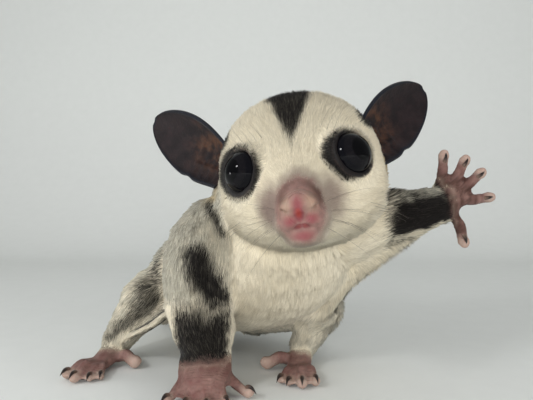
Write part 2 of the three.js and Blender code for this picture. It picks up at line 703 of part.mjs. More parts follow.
// Tail: laid on the floor behind, in lengths along one curve, thin at the root and fluffy beyond
const TAIL_ROUTE = [
  v3(-25.5, 52, 6.2),
  v3(-30, 62, 5.2),
  v3(-29, 75, 5.6),
  v3(-21, 88, 5.7),
  v3(-8, 98, 5.2),
  v3(7, 104, 4.4),
  v3(18, 107, 3.1),
];
const TAIL_SWELL = [0.78, 0.86, 0.97, 1, 0.96, 0.8, 0.5].map((share) => share * TAIL_RADIUS);
const tailScale = (TAIL_LENGTH - TAIL_RADIUS) / new THREE.CatmullRomCurve3(TAIL_ROUTE).getLength();
const TAIL_LINE = TAIL_ROUTE.map((p) => p.clone().sub(TAIL_ROUTE[0]))
  .map((p) => p.multiplyScalar(tailScale).add(TAIL_ROUTE[0]));
const tailWhole = limb({ points: TAIL_LINE, radii: TAIL_SWELL, sides: 12, steps: 20 });
const tailCuts = Array.from({ length: TAIL_PARTS - 1 }, (_, i) => {
  const t = (i + 1) / TAIL_PARTS;
  const along = smoothPoint(TAIL_LINE, t + 0.05).sub(smoothPoint(TAIL_LINE, t));
  return slab(smoothPoint(TAIL_LINE, t), along, 26);
});
const tailBodies = cutBy(onFloor(tailWhole), torso.clear, ...tailCuts)
  .decompose()
  .filter((body) => body.volume() > 5);

// The animal: nodes with their colours, gathered by region
const bodies = new Map();
const add = (name, solid, colour, finish = {}) =>
  bodies.set(name, { solid: largest(solid), colour, ...finish });
add("head", placed(headBody), COLOURS.cream);
add("lower_jaw", placed(jawBody), COLOURS.skin);
add("nose", placed(noseBody), COLOURS.skin, { roughness: 0.45 });
for (const eye of eyes) {
  add(eye.sign > 0 ? "eye_left" : "eye_right", placed(eye.body), COLOURS.eye, { roughness: 0.05 });
}
for (const ear of ears) {
  const standing = cutBy(placed(ear.body), neck.clear, torso.clear);
  add(ear.sign > 0 ? "ear_left" : "ear_right", standing, COLOURS.ear, { roughness: 0.6 });
}
add("neck", neckBody, COLOURS.cream);
add("chest", chestBody, COLOURS.cream);
add("belly", bellyBody, COLOURS.coat);
add("rump", rumpBody, COLOURS.coat);
for (const [name, solid] of Object.entries(limbs)) {
  add(name, onFloor(solid), /hand|foot/.test(name) ? COLOURS.skin : COLOURS.band);
}
add("membrane_right", onFloor(trimMembrane(membraneRight)), COLOURS.band);
add("membrane_left", onFloor(trimMembrane(membraneLeft)), COLOURS.cream);
tailBodies.sort((a, b) => a.boundingBox().min[1] - b.boundingBox().min[1]);
tailBodies.forEach((body, i) => add(`tail_${i + 1}`, body, COLOURS.coat));

const glider = new THREE.Group();
for (const [name, { solid, colour, roughness = 0.85 }] of bodies) {
  const material = new THREE.MeshStandardMaterial({ color: colour, roughness, metalness: 0 });
  const mesh = new THREE.Mesh(geometryOf(solid), material);
  mesh.name = name;
  glider.add(mesh);
}

// The origin goes under the middle of the animal's box, on the floor
const box = new THREE.Box3().setFromObject(glider);
const middle = box.getCenter(v3(0, 0, 0));
glider.position.set(-middle.x, -middle.y, -box.min.z);

export default glider;
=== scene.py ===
"""A young sugar glider as a still, life-size model: skin, coat, eyes, ears, claws and whiskers."""

import logging
import math
from dataclasses import dataclass
from enum import Enum
from typing import Any, Callable, Sequence

import bmesh
import bpy
import numpy as np
from bpy.types import Material, Mesh, Object
from mathutils import Euler, Matrix, Vector
from mathutils.bvhtree import BVHTree
from mathutils.kdtree import KDTree


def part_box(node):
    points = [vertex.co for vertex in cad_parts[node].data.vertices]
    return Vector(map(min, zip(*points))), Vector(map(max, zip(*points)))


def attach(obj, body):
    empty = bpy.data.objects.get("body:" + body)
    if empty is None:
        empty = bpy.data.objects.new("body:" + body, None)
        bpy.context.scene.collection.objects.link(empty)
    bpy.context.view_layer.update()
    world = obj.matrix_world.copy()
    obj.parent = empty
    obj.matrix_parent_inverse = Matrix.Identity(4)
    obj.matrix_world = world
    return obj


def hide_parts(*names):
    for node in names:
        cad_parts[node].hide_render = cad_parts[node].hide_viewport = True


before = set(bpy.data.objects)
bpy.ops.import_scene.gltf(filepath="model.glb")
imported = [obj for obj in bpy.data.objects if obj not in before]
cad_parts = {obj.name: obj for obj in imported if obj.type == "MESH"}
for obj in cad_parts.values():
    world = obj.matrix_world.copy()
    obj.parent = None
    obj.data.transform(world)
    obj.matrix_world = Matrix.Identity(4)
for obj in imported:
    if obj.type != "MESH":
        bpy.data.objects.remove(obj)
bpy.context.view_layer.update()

LOG = logging.getLogger("sugar_glider")
Array = np.ndarray
Place = tuple[float, float, float]
Line = tuple[Place, ...]
Colour = tuple[float, float, float]

MM = 0.001
EYES_DRAWN = np.array((6.4215, -2.7075, 49.54))  # the middle between the eyes, in drawn millimetres
EYES_IN_HEAD = np.array((0.0, 16.542, 8.175))  # the same point from the nose tip, in the head's frame
EYE_SPREAD = 10.85  # from the head's middle to each eyeball's centre
HEAD_TURN = np.array(Euler([math.radians(a) for a in (2, -9, -7)], "XYZ").to_matrix())
NOSE_TIP = EYES_DRAWN - HEAD_TURN @ EYES_IN_HEAD
ORIGIN = sum((np.array(corner) for eye in ("eye_left", "eye_right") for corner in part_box(eye))) / 4
SHIFT = ORIGIN / MM - EYES_DRAWN  # from drawn millimetres to the frame's
NOSE_PAD = (0, 1, -1)  # the middle of the nose, in the head's frame
MUZZLE = (0, 2.5, -2.5)  # the middle of the bare muzzle, in the head's frame
ASKEW = (0.31, 0.2, 0.93)  # a direction that no tube here follows


def to_frame(points: Array) -> Array:
    """Drawn millimetres as the frame's metres."""
    return (np.asarray(points) + SHIFT) * MM


def to_drawn(points: Array) -> Array:
    """The frame's metres as drawn millimetres."""
    return np.asarray(points) / MM - SHIFT


def to_head(points: Array) -> Array:
    """Drawn points in the head's own frame: nose tip at 0, +Y back, +Z up, +X the animal's left."""
    return (np.asarray(points) - NOSE_TIP) @ HEAD_TURN


def from_head(points: Array) -> Array:
    """Points of the head's own frame, as drawn."""
    return np.asarray(points) @ HEAD_TURN.T + NOSE_TIP


def unit(vectors: Array) -> Array:
    """Vectors at length 1."""
    return vectors / np.maximum(np.linalg.norm(vectors, axis=-1, keepdims=True), 1e-9)


def rise(values: Array, low: float, high: float) -> Array:
    """0 below low, 1 above high, and smooth between."""
    share = np.clip((values - low) / (high - low), 0, 1)
    return share * share * (3 - 2 * share)


def columns(*values: Array) -> Array:
    """Several values of each point, side by side."""
    return np.stack(values, axis=1)


def bell(values: Array, width: Array | float) -> Array:
    """1 where the values are 0, fading out on both sides over about this width."""
    return np.exp(-((values / width) ** 2))


def gap_to(points: Array, place: Sequence[float]) -> Array:
    """How far each point is from one place."""
    return np.linalg.norm(points - np.asarray(place), axis=1)


def waves(points: Array, size: float, seed: int) -> Array:
    """Smooth wandering values near -1 to 1.

    Args:
        points: where to read them, in millimetres.
        size: the width of one wander, in millimetres.
        seed: picks one of many patterns.

    Returns:
        One value for each point.
    """
    draw = np.random.default_rng(seed)
    total = np.zeros(len(points))
    for octave in (1.0, 1.0, 1.7, 1.7, 2.6, 2.6):
        way = unit(draw.normal(size=3)) * octave * 2 * math.pi / (2 * size)
        total += np.sin(points @ way + draw.uniform(0, 2 * math.pi)) / octave
    return total / 2.4


def curve_through(points: Sequence[Sequence[float]], count: int) -> Array:
    """A smooth curve through a few points.

    Args:
        points: what it passes, evenly spaced along it.
        count: how many points to return.

    Returns:
        The curve's points, one to a row.
    """
    given = np.array(points, float)
    padded = np.vstack([2 * given[0] - given[1], given, 2 * given[-1] - given[-2]])
    place = np.linspace(0, len(given) - 1, count)
    start = np.minimum(place.astype(int), len(given) - 2)
    f = (place - start)[:, None]
    a, b, c, d = (padded[start + k] for k in range(4))
    return b + 0.5 * f * (c - a + f * (2 * a - 5 * b + 4 * c - d + f * (3 * (b - c) + d - a)))


def path_distance(points: Array, path: Array) -> tuple[Array, Array]:
    """How far each point is from a line through a path, and how far along the path that is.

    Args:
        points: the points to measure from.
        path: the line's corners, one to a row.

    Returns:
        Distances, and places along the path from 0 to 1.
    """
    best = np.full(len(points), np.inf)
    along = np.zeros(len(points))
    legs = len(path) - 1
    for k in range(legs):
        leg = path[k + 1] - path[k]
        share = np.clip((points - path[k]) @ leg / (leg @ leg), 0, 1)
        gap = np.linalg.norm(points - path[k] - share[:, None] * leg, axis=1)
        nearer = gap < best
        best[nearer] = gap[nearer]
        along[nearer] = (k + share[nearer]) / legs
    return best, along


def tube(path: Array, radii: Array, sides: int) -> tuple[Array, Array]:
    """A closed tube along a path.

    Args:
        path: its middle line's points.
        radii: its radius at each of them.
        sides: how many sides it has.

    Returns:
        Its points and its triangles.
    """
    ways = unit(np.gradient(path, axis=0))
    across = unit(np.cross(ways, ASKEW))
    up = np.cross(ways, across)
    turn = np.arange(sides) * 2 * math.pi / sides
    ring = np.cos(turn)[None, :, None] * across[:, None] + np.sin(turn)[None, :, None] * up[:, None]
    rings = path[:, None] + np.asarray(radii)[:, None, None] * ring
    points = np.vstack([rings.reshape(-1, 3), path[:1], path[-1:]])
    row, column = np.meshgrid(np.arange(len(path) - 1), np.arange(sides), indexing="ij")
    a, b = (row * sides + column).ravel(), (row * sides + (column + 1) % sides).ravel()
    j = np.arange(sides)
    base, end = len(points) - 2, len(points) - 1
    last = (len(path) - 1) * sides
    faces = [
        columns(a, b, b + sides),
        columns(a, b + sides, a + sides),
        columns(np.full(sides, base), (j + 1) % sides, j),
        columns(np.full(sides, end), last + j, last + (j + 1) % sides),
    ]
    return points, np.vstack(faces)


def joined(pieces: Sequence[tuple[Array, Array]]) -> tuple[Array, Array]:
    """Several pieces' points and faces as one list of each.

    Args:
        pieces: each piece's points and faces.

    Returns:
        All the points, and all the faces.
    """
    starts = np.cumsum([0] + [len(points) for points, _ in pieces])
    faces = [faces + start for (_, faces), start in zip(pieces, starts)]
    return np.vstack([points for points, _ in pieces]), np.vstack(faces)


class Side(Enum):
    """The animal's own left or right."""

    LEFT = 1
    RIGHT = -1

    @property
    def word(self) -> str:
        """The side's name as the nodes spell it."""
        return self.name.lower()


@dataclass(frozen=True)
class Fur:
    """How the coat grows on one part of the body, in millimetres and degrees."""

    length: float
    width: float
    lift: float
    depth: float  # from the tips down to the skin
    crowd: float  # tufts on a square millimetre


BARE = Fur(0.5, 0.1, 12, 0.05, 0)
FURS = {  # each with its length, width, lift, depth and crowd
    "head": Fur(2.0, 0.12, 17, 0.34, 36),
    "lower_jaw": Fur(1.0, 0.11, 14, 0.25, 34),
    "nose": BARE,
    "neck": Fur(2.8, 0.15, 19, 0.8, 22),
    "chest": Fur(3.0, 0.15, 15, 0.75, 24),
    "belly": Fur(3.6, 0.22, 20, 1.05, 12),
    "rump": Fur(3.8, 0.22, 20, 1.1, 12),
    "upper_arm": Fur(2.6, 0.14, 19, 0.7, 24),
    "forearm": Fur(2.1, 0.13, 17, 0.55, 28),
    "hand": Fur(0.8, 0.1, 12, 0.12, 16),
    "thigh": Fur(3.0, 0.17, 20, 0.85, 18),
    "shank": Fur(2.2, 0.15, 18, 0.6, 22),
    "foot": Fur(0.8, 0.1, 12, 0.12, 16),
    "membrane": Fur(1.8, 0.14, 15, 0.42, 22),
    "tail": Fur(4.4, 0.22, 24, 1.5, 13),
}


def fur_of(node: str) -> Fur:
    """The fur that grows on a node, which may be one of several of its kind."""
    return FURS.get(node) or FURS[node.rsplit("_", 1)[0]]


LIMBS = tuple(
    tuple(f"{part}_{side}" for part in parts)
    for parts in (("upper_arm", "forearm", "hand"), ("thigh", "shank", "foot"))
    for side in ("left", "right")
)
TAIL = ("tail_1", "tail_2", "tail_3", "tail_4")
FLESH = (
    "head", "lower_jaw", "nose", "neck", "chest", "belly", "rump",
    *(part for limb in LIMBS for part in limb), "membrane_left", "membrane_right", *TAIL,
)
# The lie of the coat runs along each of these, from one part's middle to the next one's
LIE_CHAINS = (("neck", "chest", "belly", "rump", "tail_1"), TAIL, *LIMBS)


def new_object(name: str, mesh: Mesh) -> Object:
    """Links a mesh into the scene as an object.

    Args:
        name: the object's name.
        mesh: what it shows.

    Returns:
        The object.
    """
    made = bpy.data.objects.new(name, mesh)
    bpy.context.scene.collection.objects.link(made)
    return made


def mesh_of(name: str, points: Array, faces: Array, smooth: bool = True) -> Mesh:
    """A mesh from arrays, quickly.

    Args:
        name: the mesh's name.
        points: drawn millimetres, one point to a row.
        faces: point numbers, one face to a row.
        smooth: whether its faces are shaded smooth.

    Returns:
        The mesh, in the frame's metres.
    """
    mesh = bpy.data.meshes.new(name)
    count, corners = faces.shape
    mesh.vertices.add(len(points))
    mesh.vertices.foreach_set("co", to_frame(points).astype(np.float32).ravel())
    mesh.loops.add(count * corners)
    mesh.loops.foreach_set("vertex_index", faces.astype(np.int32).ravel())
    mesh.polygons.add(count)
    mesh.polygons.foreach_set("loop_start", np.arange(0, count * corners, corners, dtype=np.int32))
    mesh.polygons.foreach_set("use_smooth", np.full(count, smooth))
    mesh.update(calc_edges=True)
    return mesh


def read(rows: Any, key: str, width: int, kind: type = np.float64) -> Array:
    """A value of each of a mesh's elements, quickly.

    Args:
        rows: the elements.
        key: the value's name.
        width: how many numbers it has.
        kind: what type they are.

    Returns:
        The values, one to a row.
    """
    flat = np.zeros(len(rows) * width, kind)
    rows.foreach_get(key, flat)
    return flat.reshape(-1, width)


def paint(mesh: Mesh, name: str, values: Array) -> None:
    """Stores four values for each of a mesh's points, which a material reads by name."""
    layer = mesh.attributes.new(name, "FLOAT_COLOR", "POINT")
    layer.data.foreach_set("color", values.astype(np.float32).ravel())


class Signal:
    """A shader socket that takes part in Python expressions."""

    def __init__(self, graph: "Graph", socket: bpy.types.NodeSocket) -> None:
        """Wraps one output socket of a graph's node."""
        self.graph = graph
        self.socket = socket

    def _join(self, operation: str, first: Any, second: Any) -> "Signal":
        """One Math node, or a Vector Math node where either side is a colour or a vector.

        Args:
            operation: the node's operation.
            first: a Signal, number, colour or vector.
            second: the same.

        Returns:
            What the node gives.
        """
        plain = all(
            value.socket.type == "VALUE" if isinstance(value, Signal) else isinstance(value, (int, float))
            for value in (first, second)
        )
        kind = "ShaderNodeMath" if plain else "ShaderNodeVectorMath"
        if not plain:
            first, second = (
                (value,) * 3 if isinstance(value, (int, float)) else value for value in (first, second)
            )
        return self.graph.node(kind, {"operation": operation}, {0: first, 1: second})

    def __add__(self, other: Any) -> "Signal":
        """self + other."""
        return self._join("ADD", self, other)

    def __radd__(self, other: Any) -> "Signal":
        """other + self."""
        return self._join("ADD", other, self)

    def __sub__(self, other: Any) -> "Signal":
        """self - other."""
        return self._join("SUBTRACT", self, other)

    def __rsub__(self, other: Any) -> "Signal":
        """other - self."""
        return self._join("SUBTRACT", other, self)

    def __mul__(self, other: Any) -> "Signal":
        """self * other."""
        return self._join("MULTIPLY", self, other)

    def __rmul__(self, other: Any) -> "Signal":
        """other * self."""
        return self._join("MULTIPLY", other, self)


class Graph:
    """A material's nodes, made by short calls."""

    def __init__(self, name: str) -> None:
        """Starts a material with an output and a Principled shader.

        Args:
            name: the material's name.
        """
        self.material = bpy.data.materials.new(name)
        self.material.use_nodes = True
        self.tree = self.material.node_tree
        self.shader = self.tree.nodes["Principled BSDF"]

    def node(self, kind: str, settings: dict[str, Any], inputs: dict[Any, Any], output: Any = 0) -> Signal:
        """Adds any node.

        Args:
            kind: Blender's type name for it.
            settings: its properties, and "stops" for a ramp's places and colours.
            inputs: a value or a Signal for each socket, by number or name.
            output: which output to return, by number or name.

        Returns:
            That output as a Signal.
        """
        made = self.tree.nodes.new(kind)
        for key, value in settings.items():
            if key == "stops":
                self._set_stops(made.color_ramp, value)
            else:
                setattr(made, key, value)
        for key, value in inputs.items():
            self._feed(made.inputs[key], value)
        return Signal(self, made.outputs[output])

    @staticmethod
    def _set_stops(ramp: bpy.types.ColorRamp, stops: Sequence[tuple[float, Colour]]) -> None:
        """Gives a ramp its stops, each a place and a colour.

        Args:
            ramp: the ramp.
            stops: each stop's place and colour.
        """
        while len(ramp.elements) < len(stops):
            ramp.elements.new(0.5)
        for element, (place, colour) in zip(ramp.elements, stops):
            element.position = place
            element.color = (*colour, 1)

    def _feed(self, socket: bpy.types.NodeSocket, value: Any) -> None:
        """Links a Signal to a socket, or sets the socket's own value.

        Args:
            socket: the input.
            value: a Signal, or what the socket holds.
        """
        if isinstance(value, Signal):
            self.tree.links.new(value.socket, socket)
        elif isinstance(value, tuple) and socket.type == "RGBA" and len(value) == 3:
            socket.default_value = (*value, 1)
        else:
            socket.default_value = value

    def mix(self, share: Any, first: Any, second: Any) -> Signal:
        """A blend of two colours, the second by its share."""
        settings = {"data_type": "RGBA", "clamp_factor": True}
        return self.node("ShaderNodeMix", settings, {0: share, 6: first, 7: second}, 2)

    def channels(self, name: str) -> list[Signal]:
        """The first three values of a painted attribute, then its fourth.

        Args:
            name: the attribute's name.

        Returns:
            Four Signals.
        """
        kind, settings = "ShaderNodeAttribute", {"attribute_name": name}
        colour = self.node(kind, settings, {}, "Color")
        parts = self.node("ShaderNodeSeparateColor", {}, {0: colour})
        outputs = parts.socket.node.outputs
        fourth = Signal(self, colour.socket.node.outputs["Alpha"])
        return [Signal(self, outputs[i]) for i in range(3)] + [fourth]

    def place(self) -> Signal:
        """Where a point is in the model's own frame."""
        return self.node("ShaderNodeTexCoord", {}, {}, "Object")

    def noise(self, per_mm: float, detail: float = 3, rough: float = 0.55) -> Signal:
        """Even noise from 0 to 1, with this many cells to the millimetre."""
        sizes = {"Vector": self.place(), "Scale": per_mm / MM, "Detail": detail, "Roughness": rough}
        return self.node("ShaderNodeTexNoise", {}, sizes)

    def step(self, value: Any, low: float, high: float) -> Signal:
        """0 below low, 1 above high, and smooth between."""
        ends = {"Value": value, "From Min": low, "From Max": high}
        return self.node("ShaderNodeMapRange", {"interpolation_type": "SMOOTHSTEP"}, ends)

    def bump(self, height: Signal, depth_mm: float, strength: float = 1.0) -> Signal:
        """A normal that shows a height from 0 to 1 as this many millimetres."""
        sizes = {"Height": height, "Distance": depth_mm * MM, "Strength": strength}
        return self.node("ShaderNodeBump", {}, sizes, "Normal")

    def finish(self, **sockets: Any) -> Material:
        """Feeds the shader's sockets, named with _ for a space, and returns the material.

        Args:
            **sockets: a Signal or a value for each socket.

        Returns:
            The material.
        """
        for name, value in sockets.items():
            self._feed(self.shader.inputs[name.replace("_", " ")], value)
        return self.material


@dataclass(frozen=True)
class CoatColours:
    """The coat's colours, which skin and tufts share."""

    cream: Colour = (0.82, 0.755, 0.60)
    cream_shade: Colour = (0.63, 0.55, 0.40)
    # also stands in for painted shade on the chest's sides and the left membrane
    grey: Colour = (0.48, 0.458, 0.37)
    grey_shade: Colour = (0.095, 0.09, 0.078)
    dark: Colour = (0.016, 0.014, 0.013)
    dark_shade: Colour = (0.004, 0.0035, 0.0035)
    ochre: Colour = (0.42, 0.29, 0.10)
    # also carries painted shade round the muzzle's edge
    mauve: Colour = (0.235, 0.17, 0.145)

    def blend(self, graph: Graph, marks: list[Signal], light: Any) -> Signal:
        """The coat's colour from its markings.

        Args:
            graph: where the nodes go.
            marks: how grey, dark, ochre and mauve the coat is.
            light: 0 for the coat's shaded depths, 1 for its tips.

        Returns:
            The colour.
        """
        grey, dark, ochre, mauve = marks
        cream = graph.mix(light, self.cream_shade, self.cream)
        base = graph.mix(grey, cream, graph.mix(light, self.grey_shade, self.grey))
        base = graph.mix(mauve, graph.mix(ochre, base, self.ochre), self.mauve)
        return graph.mix(dark, base, graph.mix(light, self.dark_shade, self.dark))


@dataclass(frozen=True)
class FurFinish:
    """The tufts' finish: soft, with lighter tips and a little difference from tuft to tuft."""

    colours: CoatColours = CoatColours()
    roughness: float = 0.62
    sheen: float = 0.06

    def material(self) -> Material:
        """The material that every coat piece wears.

        Returns:
            The material.
        """
        graph = Graph("fur")
        tip, chance, own, _ = graph.channels("strand")
        grey, dark, ochre, mauve = graph.channels("marks")
        grey = graph.step(grey + (own - 0.5) * 0.3, 0.02, 0.98)
        dark = graph.step(dark + (own - 0.5) * 0.35, 0.08, 0.92)
        marks = [grey, dark, ochre, mauve]
        light = tip * 0.35 + chance * 0.4 + 0.2
        colour = self.colours.blend(graph, marks, light) * (chance * 0.16 + 0.92)
        return graph.finish(
            Base_Color=colour,
            Roughness=self.roughness,
            Specular_IOR_Level=0.15,
            Sheen_Weight=self.sheen,
            Sheen_Roughness=0.5,
        )


@dataclass(frozen=True)
class SkinFinish:
    """The skin's finish: the coat's markings under the fur, and pink, moist skin where it is bare."""

    colours: CoatColours = CoatColours()
    pink: Colour = (0.27, 0.155, 0.132)
    rosy: Colour = (0.215, 0.052, 0.06)
    red: Colour = (0.34, 0.038, 0.028)
    tan: Colour = (0.34, 0.225, 0.165)
    # dark brown for painted shade on the muzzle, and for the dark lids and brown paws
    dark_tone_and_shade: Colour = (0.068, 0.032, 0.024)
    pale: Colour = (0.50, 0.38, 0.31)
    lid: Colour = (0.010, 0.008, 0.008)

    def material(self) -> Material:
        """The material of the one skin.

        Returns:
            The material.
        """
        graph = Graph("skin")
        marks = graph.channels("marks")
        rosy, tan, dark_tone_and_shade, wet = graph.channels("tint")
        bare, pale, crease, lid = graph.channels("bare")
        fine = graph.noise(6.0, detail=4)
        patches = graph.noise(0.9, detail=4, rough=0.6)
        coat = self.colours.blend(graph, marks, fine * 0.6)
        skin = graph.mix(graph.step(patches, 0.35, 0.7), self.pink, tuple(0.7 * c for c in self.pink))
        flush = graph.node(
            "ShaderNodeValToRGB",
            {"stops": ((0.0, self.pink), (0.5, self.rosy), (1.0, self.red))},
            {0: rosy},
        )
        skin = graph.mix(graph.step(rosy, 0.0, 0.35), skin, flush)
        skin = graph.mix(pale, graph.mix(tan, skin, self.tan), self.pale)
        # painted shade on the muzzle, with the lids' and paws' own dark tone
        skin = graph.mix(dark_tone_and_shade, skin * (fine * 0.3 + 0.85), self.dark_tone_and_shade)
        skin = graph.mix(lid, skin, self.lid)
        wrinkles = graph.noise(2.4, detail=5, rough=0.65) * 0.5 + fine * 0.3 + crease * 0.5
        return graph.finish(
            Base_Color=graph.mix(bare, coat, skin),
            Roughness=0.66 - wet * 0.40,
            Normal=graph.bump(wrinkles, 0.2),
            Subsurface_Weight=0.10,
            Subsurface_Radius=(1.0, 0.35, 0.25),
            Subsurface_Scale=0.8 * MM,
        )


@dataclass(frozen=True)
class EyeFinish:
    """A wet, nearly black eye: a deep brown iris with fine rays round a black pupil."""

    pupil: Colour = (0.0015, 0.0015, 0.002)
    iris: Colour = (0.008, 0.007, 0.008)
    rim: Colour = (0.003, 0.003, 0.0045)

    def material(self) -> Material:
        """The eyeballs' material.

        Returns:
            The material.
        """
        graph = Graph("eye")
        angle, turn, _, _ = graph.channels("gaze")
        rays = graph.node(
            "ShaderNodeTexNoise", {"noise_dimensions": "1D"}, {"W": turn, "Scale": 60.0, "Detail": 3.0}
        )
        iris = graph.mix(graph.step(rays, 0.3, 0.75), self.rim, self.iris)
        inner = graph.mix(graph.step(angle, 0.30, 0.36), self.pupil, iris)
        colour = graph.mix(graph.step(angle, 0.50, 0.58), inner, self.rim)
        return graph.finish(
            Base_Color=colour,
            Roughness=graph.noise(0.5) * 0.02 + 0.03,
            IOR=1.38,
            Specular_IOR_Level=0.22,
        )


@dataclass(frozen=True)
class EarFinish:
    """Thin, dark ear skin, with painted light shining reddish through it deep in the cup, with a bluish rim
    and fine veins.
    """

    dark: Colour = (0.010, 0.007, 0.008)
    plum: Colour = (0.019, 0.012, 0.013)
    # painted light: the red of light shining through the thin skin
    lit_through_red: Colour = (0.095, 0.042, 0.020)
    rim: Colour = (0.009, 0.010, 0.015)

    def material(self) -> Material:
        """The ears' material.

        Returns:
            The material.
        """
        graph = Graph("ear")
        lit_through, edge, ridge, _ = graph.channels("leaf")
        cloud = graph.noise(0.35, detail=4, rough=0.6)
        fine = graph.noise(3.0, detail=5, rough=0.6)
        spread = {"Vector": graph.place(), "Scale": 0.55 / MM, "Randomness": 1.0}
        veins = graph.node("ShaderNodeTexVoronoi", {"feature": "DISTANCE_TO_EDGE"}, spread)
        vein = 1.0 - graph.step(veins, 0.0, 0.10)
        colour = graph.mix(graph.step(cloud, 0.35, 0.65), self.dark, self.plum)
        # painted light shining reddish through the thin skin, low in the cup
        colour = graph.mix(lit_through * graph.step(cloud + fine * 0.3, 0.5, 0.85), colour, self.lit_through_red)
        colour = graph.mix(vein * 0.25, colour, self.dark) * (fine * 0.5 + 0.75)
        colour = graph.mix(edge, colour, self.rim)
        relief = fine * 0.5 + vein * 0.25 + ridge * 0.25
        return graph.finish(
            Base_Color=colour,
            Roughness=fine * 0.2 + 0.5,
            Specular_IOR_Level=0.25,
            Normal=graph.bump(relief, 0.10),
            Sheen_Weight=0.05,
            Subsurface_Weight=0.08,
            Subsurface_Radius=(1.0, 0.3, 0.2),
            Subsurface_Scale=0.6 * MM,
        )


@dataclass(frozen=True)
class HornFinish:
    """Claws: dark horn, paler at the root, with lengthwise growth lines."""

    root: Colour = (0.16, 0.10, 0.075)
    tip: Colour = (0.018, 0.013, 0.012)

    def material(self, name: str) -> Material:
        """A claw material of this name.

        Args:
            name: the material's name.

        Returns:
            The material.
        """
        graph = Graph(name)
        along, _, _, _ = graph.channels("strand")
        grain = graph.noise(4.0, detail=3)
        colour = graph.mix(graph.step(along + grain * 0.3, 0.15, 0.7), self.root, self.tip)
        return graph.finish(Base_Color=colour, Roughness=0.32, Normal=graph.bump(grain, 0.05))


@dataclass(frozen=True)
class WhiskerFinish:
    """Whiskers: stiff dark hairs that pale toward their tips."""

    root: Colour = (0.030, 0.022, 0.020)
    tip: Colour = (0.19, 0.16, 0.13)

    def material(self) -> Material:
        """The whiskers' material.

        Returns:
            The material.
        """
        graph = Graph("whisker")
        along, chance, _, _ = graph.channels("strand")
        shade = graph.noise(1.2) * 0.4 + along * 0.6 + chance * 0.25
        return graph.finish(Base_Color=graph.mix(shade, self.root, self.tip), Roughness=0.4)


@dataclass(frozen=True)
class BackdropFinish:
    """The studio's plain, pale paper."""

    paper: Colour = (0.78, 0.80, 0.78)
    shade: Colour = (0.74, 0.76, 0.74)

    def material(self) -> Material:
        """The backdrop's material."""
        graph = Graph("backdrop")
        return graph.finish(Base_Color=graph.mix(graph.noise(0.15), self.shade, self.paper), Roughness=0.9)


@dataclass(frozen=True)
class Digit:
    """A finger or toe, in shares of the paw's length and thickness."""

    across: float
    along: float
    reach: float
    thick: float
    clawed: bool = True


FINGERS = (
    Digit(0.3, 0.2, 0.62, 1.04),
    Digit(0.2, 0.44, 0.66, 1),
    Digit(0.03, 0.5, 0.7, 1),
    Digit(-0.15, 0.47, 0.68, 1),
    Digit(-0.33, 0.34, 0.64, 0.98),
)
TOES = (
    Digit(0.34, 0.12, 0.4, 1.35, clawed=False),
    Digit(0.2, 0.46, 0.42, 0.85),
    Digit(0.06, 0.5, 0.45, 0.85),
    Digit(-0.12, 0.5, 0.52, 1.1),
    Digit(-0.28, 0.44, 0.48, 1.05),
)


@dataclass
class Paw:
    """A hand or foot: its wrist, the way it points, and how its digits spread, in millimetres."""

    name: str
    side: Side
    wrist: Place
    height: float
    forward: Place
    back: Place
    digits: tuple[Digit, ...]
    angles: tuple[float, ...]
    length: float
    palm: float
    drawn_back: float = 0.0  # how far the claws lie back from the digits' tips
    digit_radius: float = 1.3
    knuckles: float = 1.0  # how far out the digits start, as a share of their own places

    def __post_init__(self) -> None:
        """Works out the paw's own axes, as the columns of a matrix."""
        ahead = unit(np.array(self.forward, float))
        across = unit(np.cross(ahead, np.array(self.back, float)))
        self.turn = columns(across, ahead, np.cross(across, ahead))

    def drawn(self, point: Array) -> Array:
        """A point of the paw's own frame, as drawn."""
        return np.array(self.wrist) + self.turn @ point

    def fingers(self) -> list[tuple[Digit, Array, Array, float]]:
        """Each digit with its root and tip in the paw's own frame, and its radius.

        Returns:
            The digit, its root, its tip and its radius, for each.
        """
        found = []
        for digit, angle in zip(self.digits, self.angles):
            turn = math.radians(angle * self.side.value)
            radius = self.digit_radius * digit.thick
            across = self.side.value * digit.across * self.palm * self.length
            root = np.array((across, digit.along * self.length * self.knuckles, -0.5 * self.height))
            tip = root + digit.reach * self.length * np.array((math.sin(turn), math.cos(turn), 0))
            tip[2] = radius - self.height
            found.append((digit, root, tip, radius))
        return found

    def middle_lines(self) -> list[tuple[Array, float]]:
        """Each digit's middle line as drawn, arched over its knuckle, and its radius.

        Returns:
            The line's points and the radius, for each.
        """
        lines = []
        for digit, root, tip, radius in self.fingers():
            reach = digit.reach * self.length
            knee, pad = root + 0.45 * (tip - root), root + 0.86 * (tip - root)
            knee[2], pad[2] = tip[2] + 0.16 * reach, tip[2]
            path = curve_through((root, knee, pad, tip + (0, 0, 0.1 * radius)), 16)
            lines.append((np.array([self.drawn(point) for point in path]), radius))
        return lines

    def seat(self, points: Array) -> Array:
        """Round digits with knuckles and fleshy tips.

        Args:
            points: the skin's points, as drawn.

        Returns:
            The points, those near a digit moved to its own round form.
        """
        best, moved = np.full(len(points), 1.7), points.copy()
        for path, radius in self.middle_lines():
            gap, along = path_distance(points, path)
            place = along * (len(path) - 1)
            start = np.minimum(place.astype(int), len(path) - 2)
            foot = path[start] + (place - start)[:, None] * (path[start + 1] - path[start])
            form = np.interp(along, (0, 0.33, 0.5, 0.66, 0.86, 1), (1.1, 1.08, 0.98, 1.0, 1.12, 1.0))
            ratio = gap / (form * radius)
            mine = (ratio < best) & (along > 0.05)
            best[mine] = ratio[mine]
            share = rise(along, 0.10, 0.34) * (1 - rise(ratio, 1.25, 1.7))
            pull = share * (form * radius - gap) / np.maximum(gap, 0.05)
            moved[mine] = (points + pull[:, None] * (points - foot))[mine]
        return moved


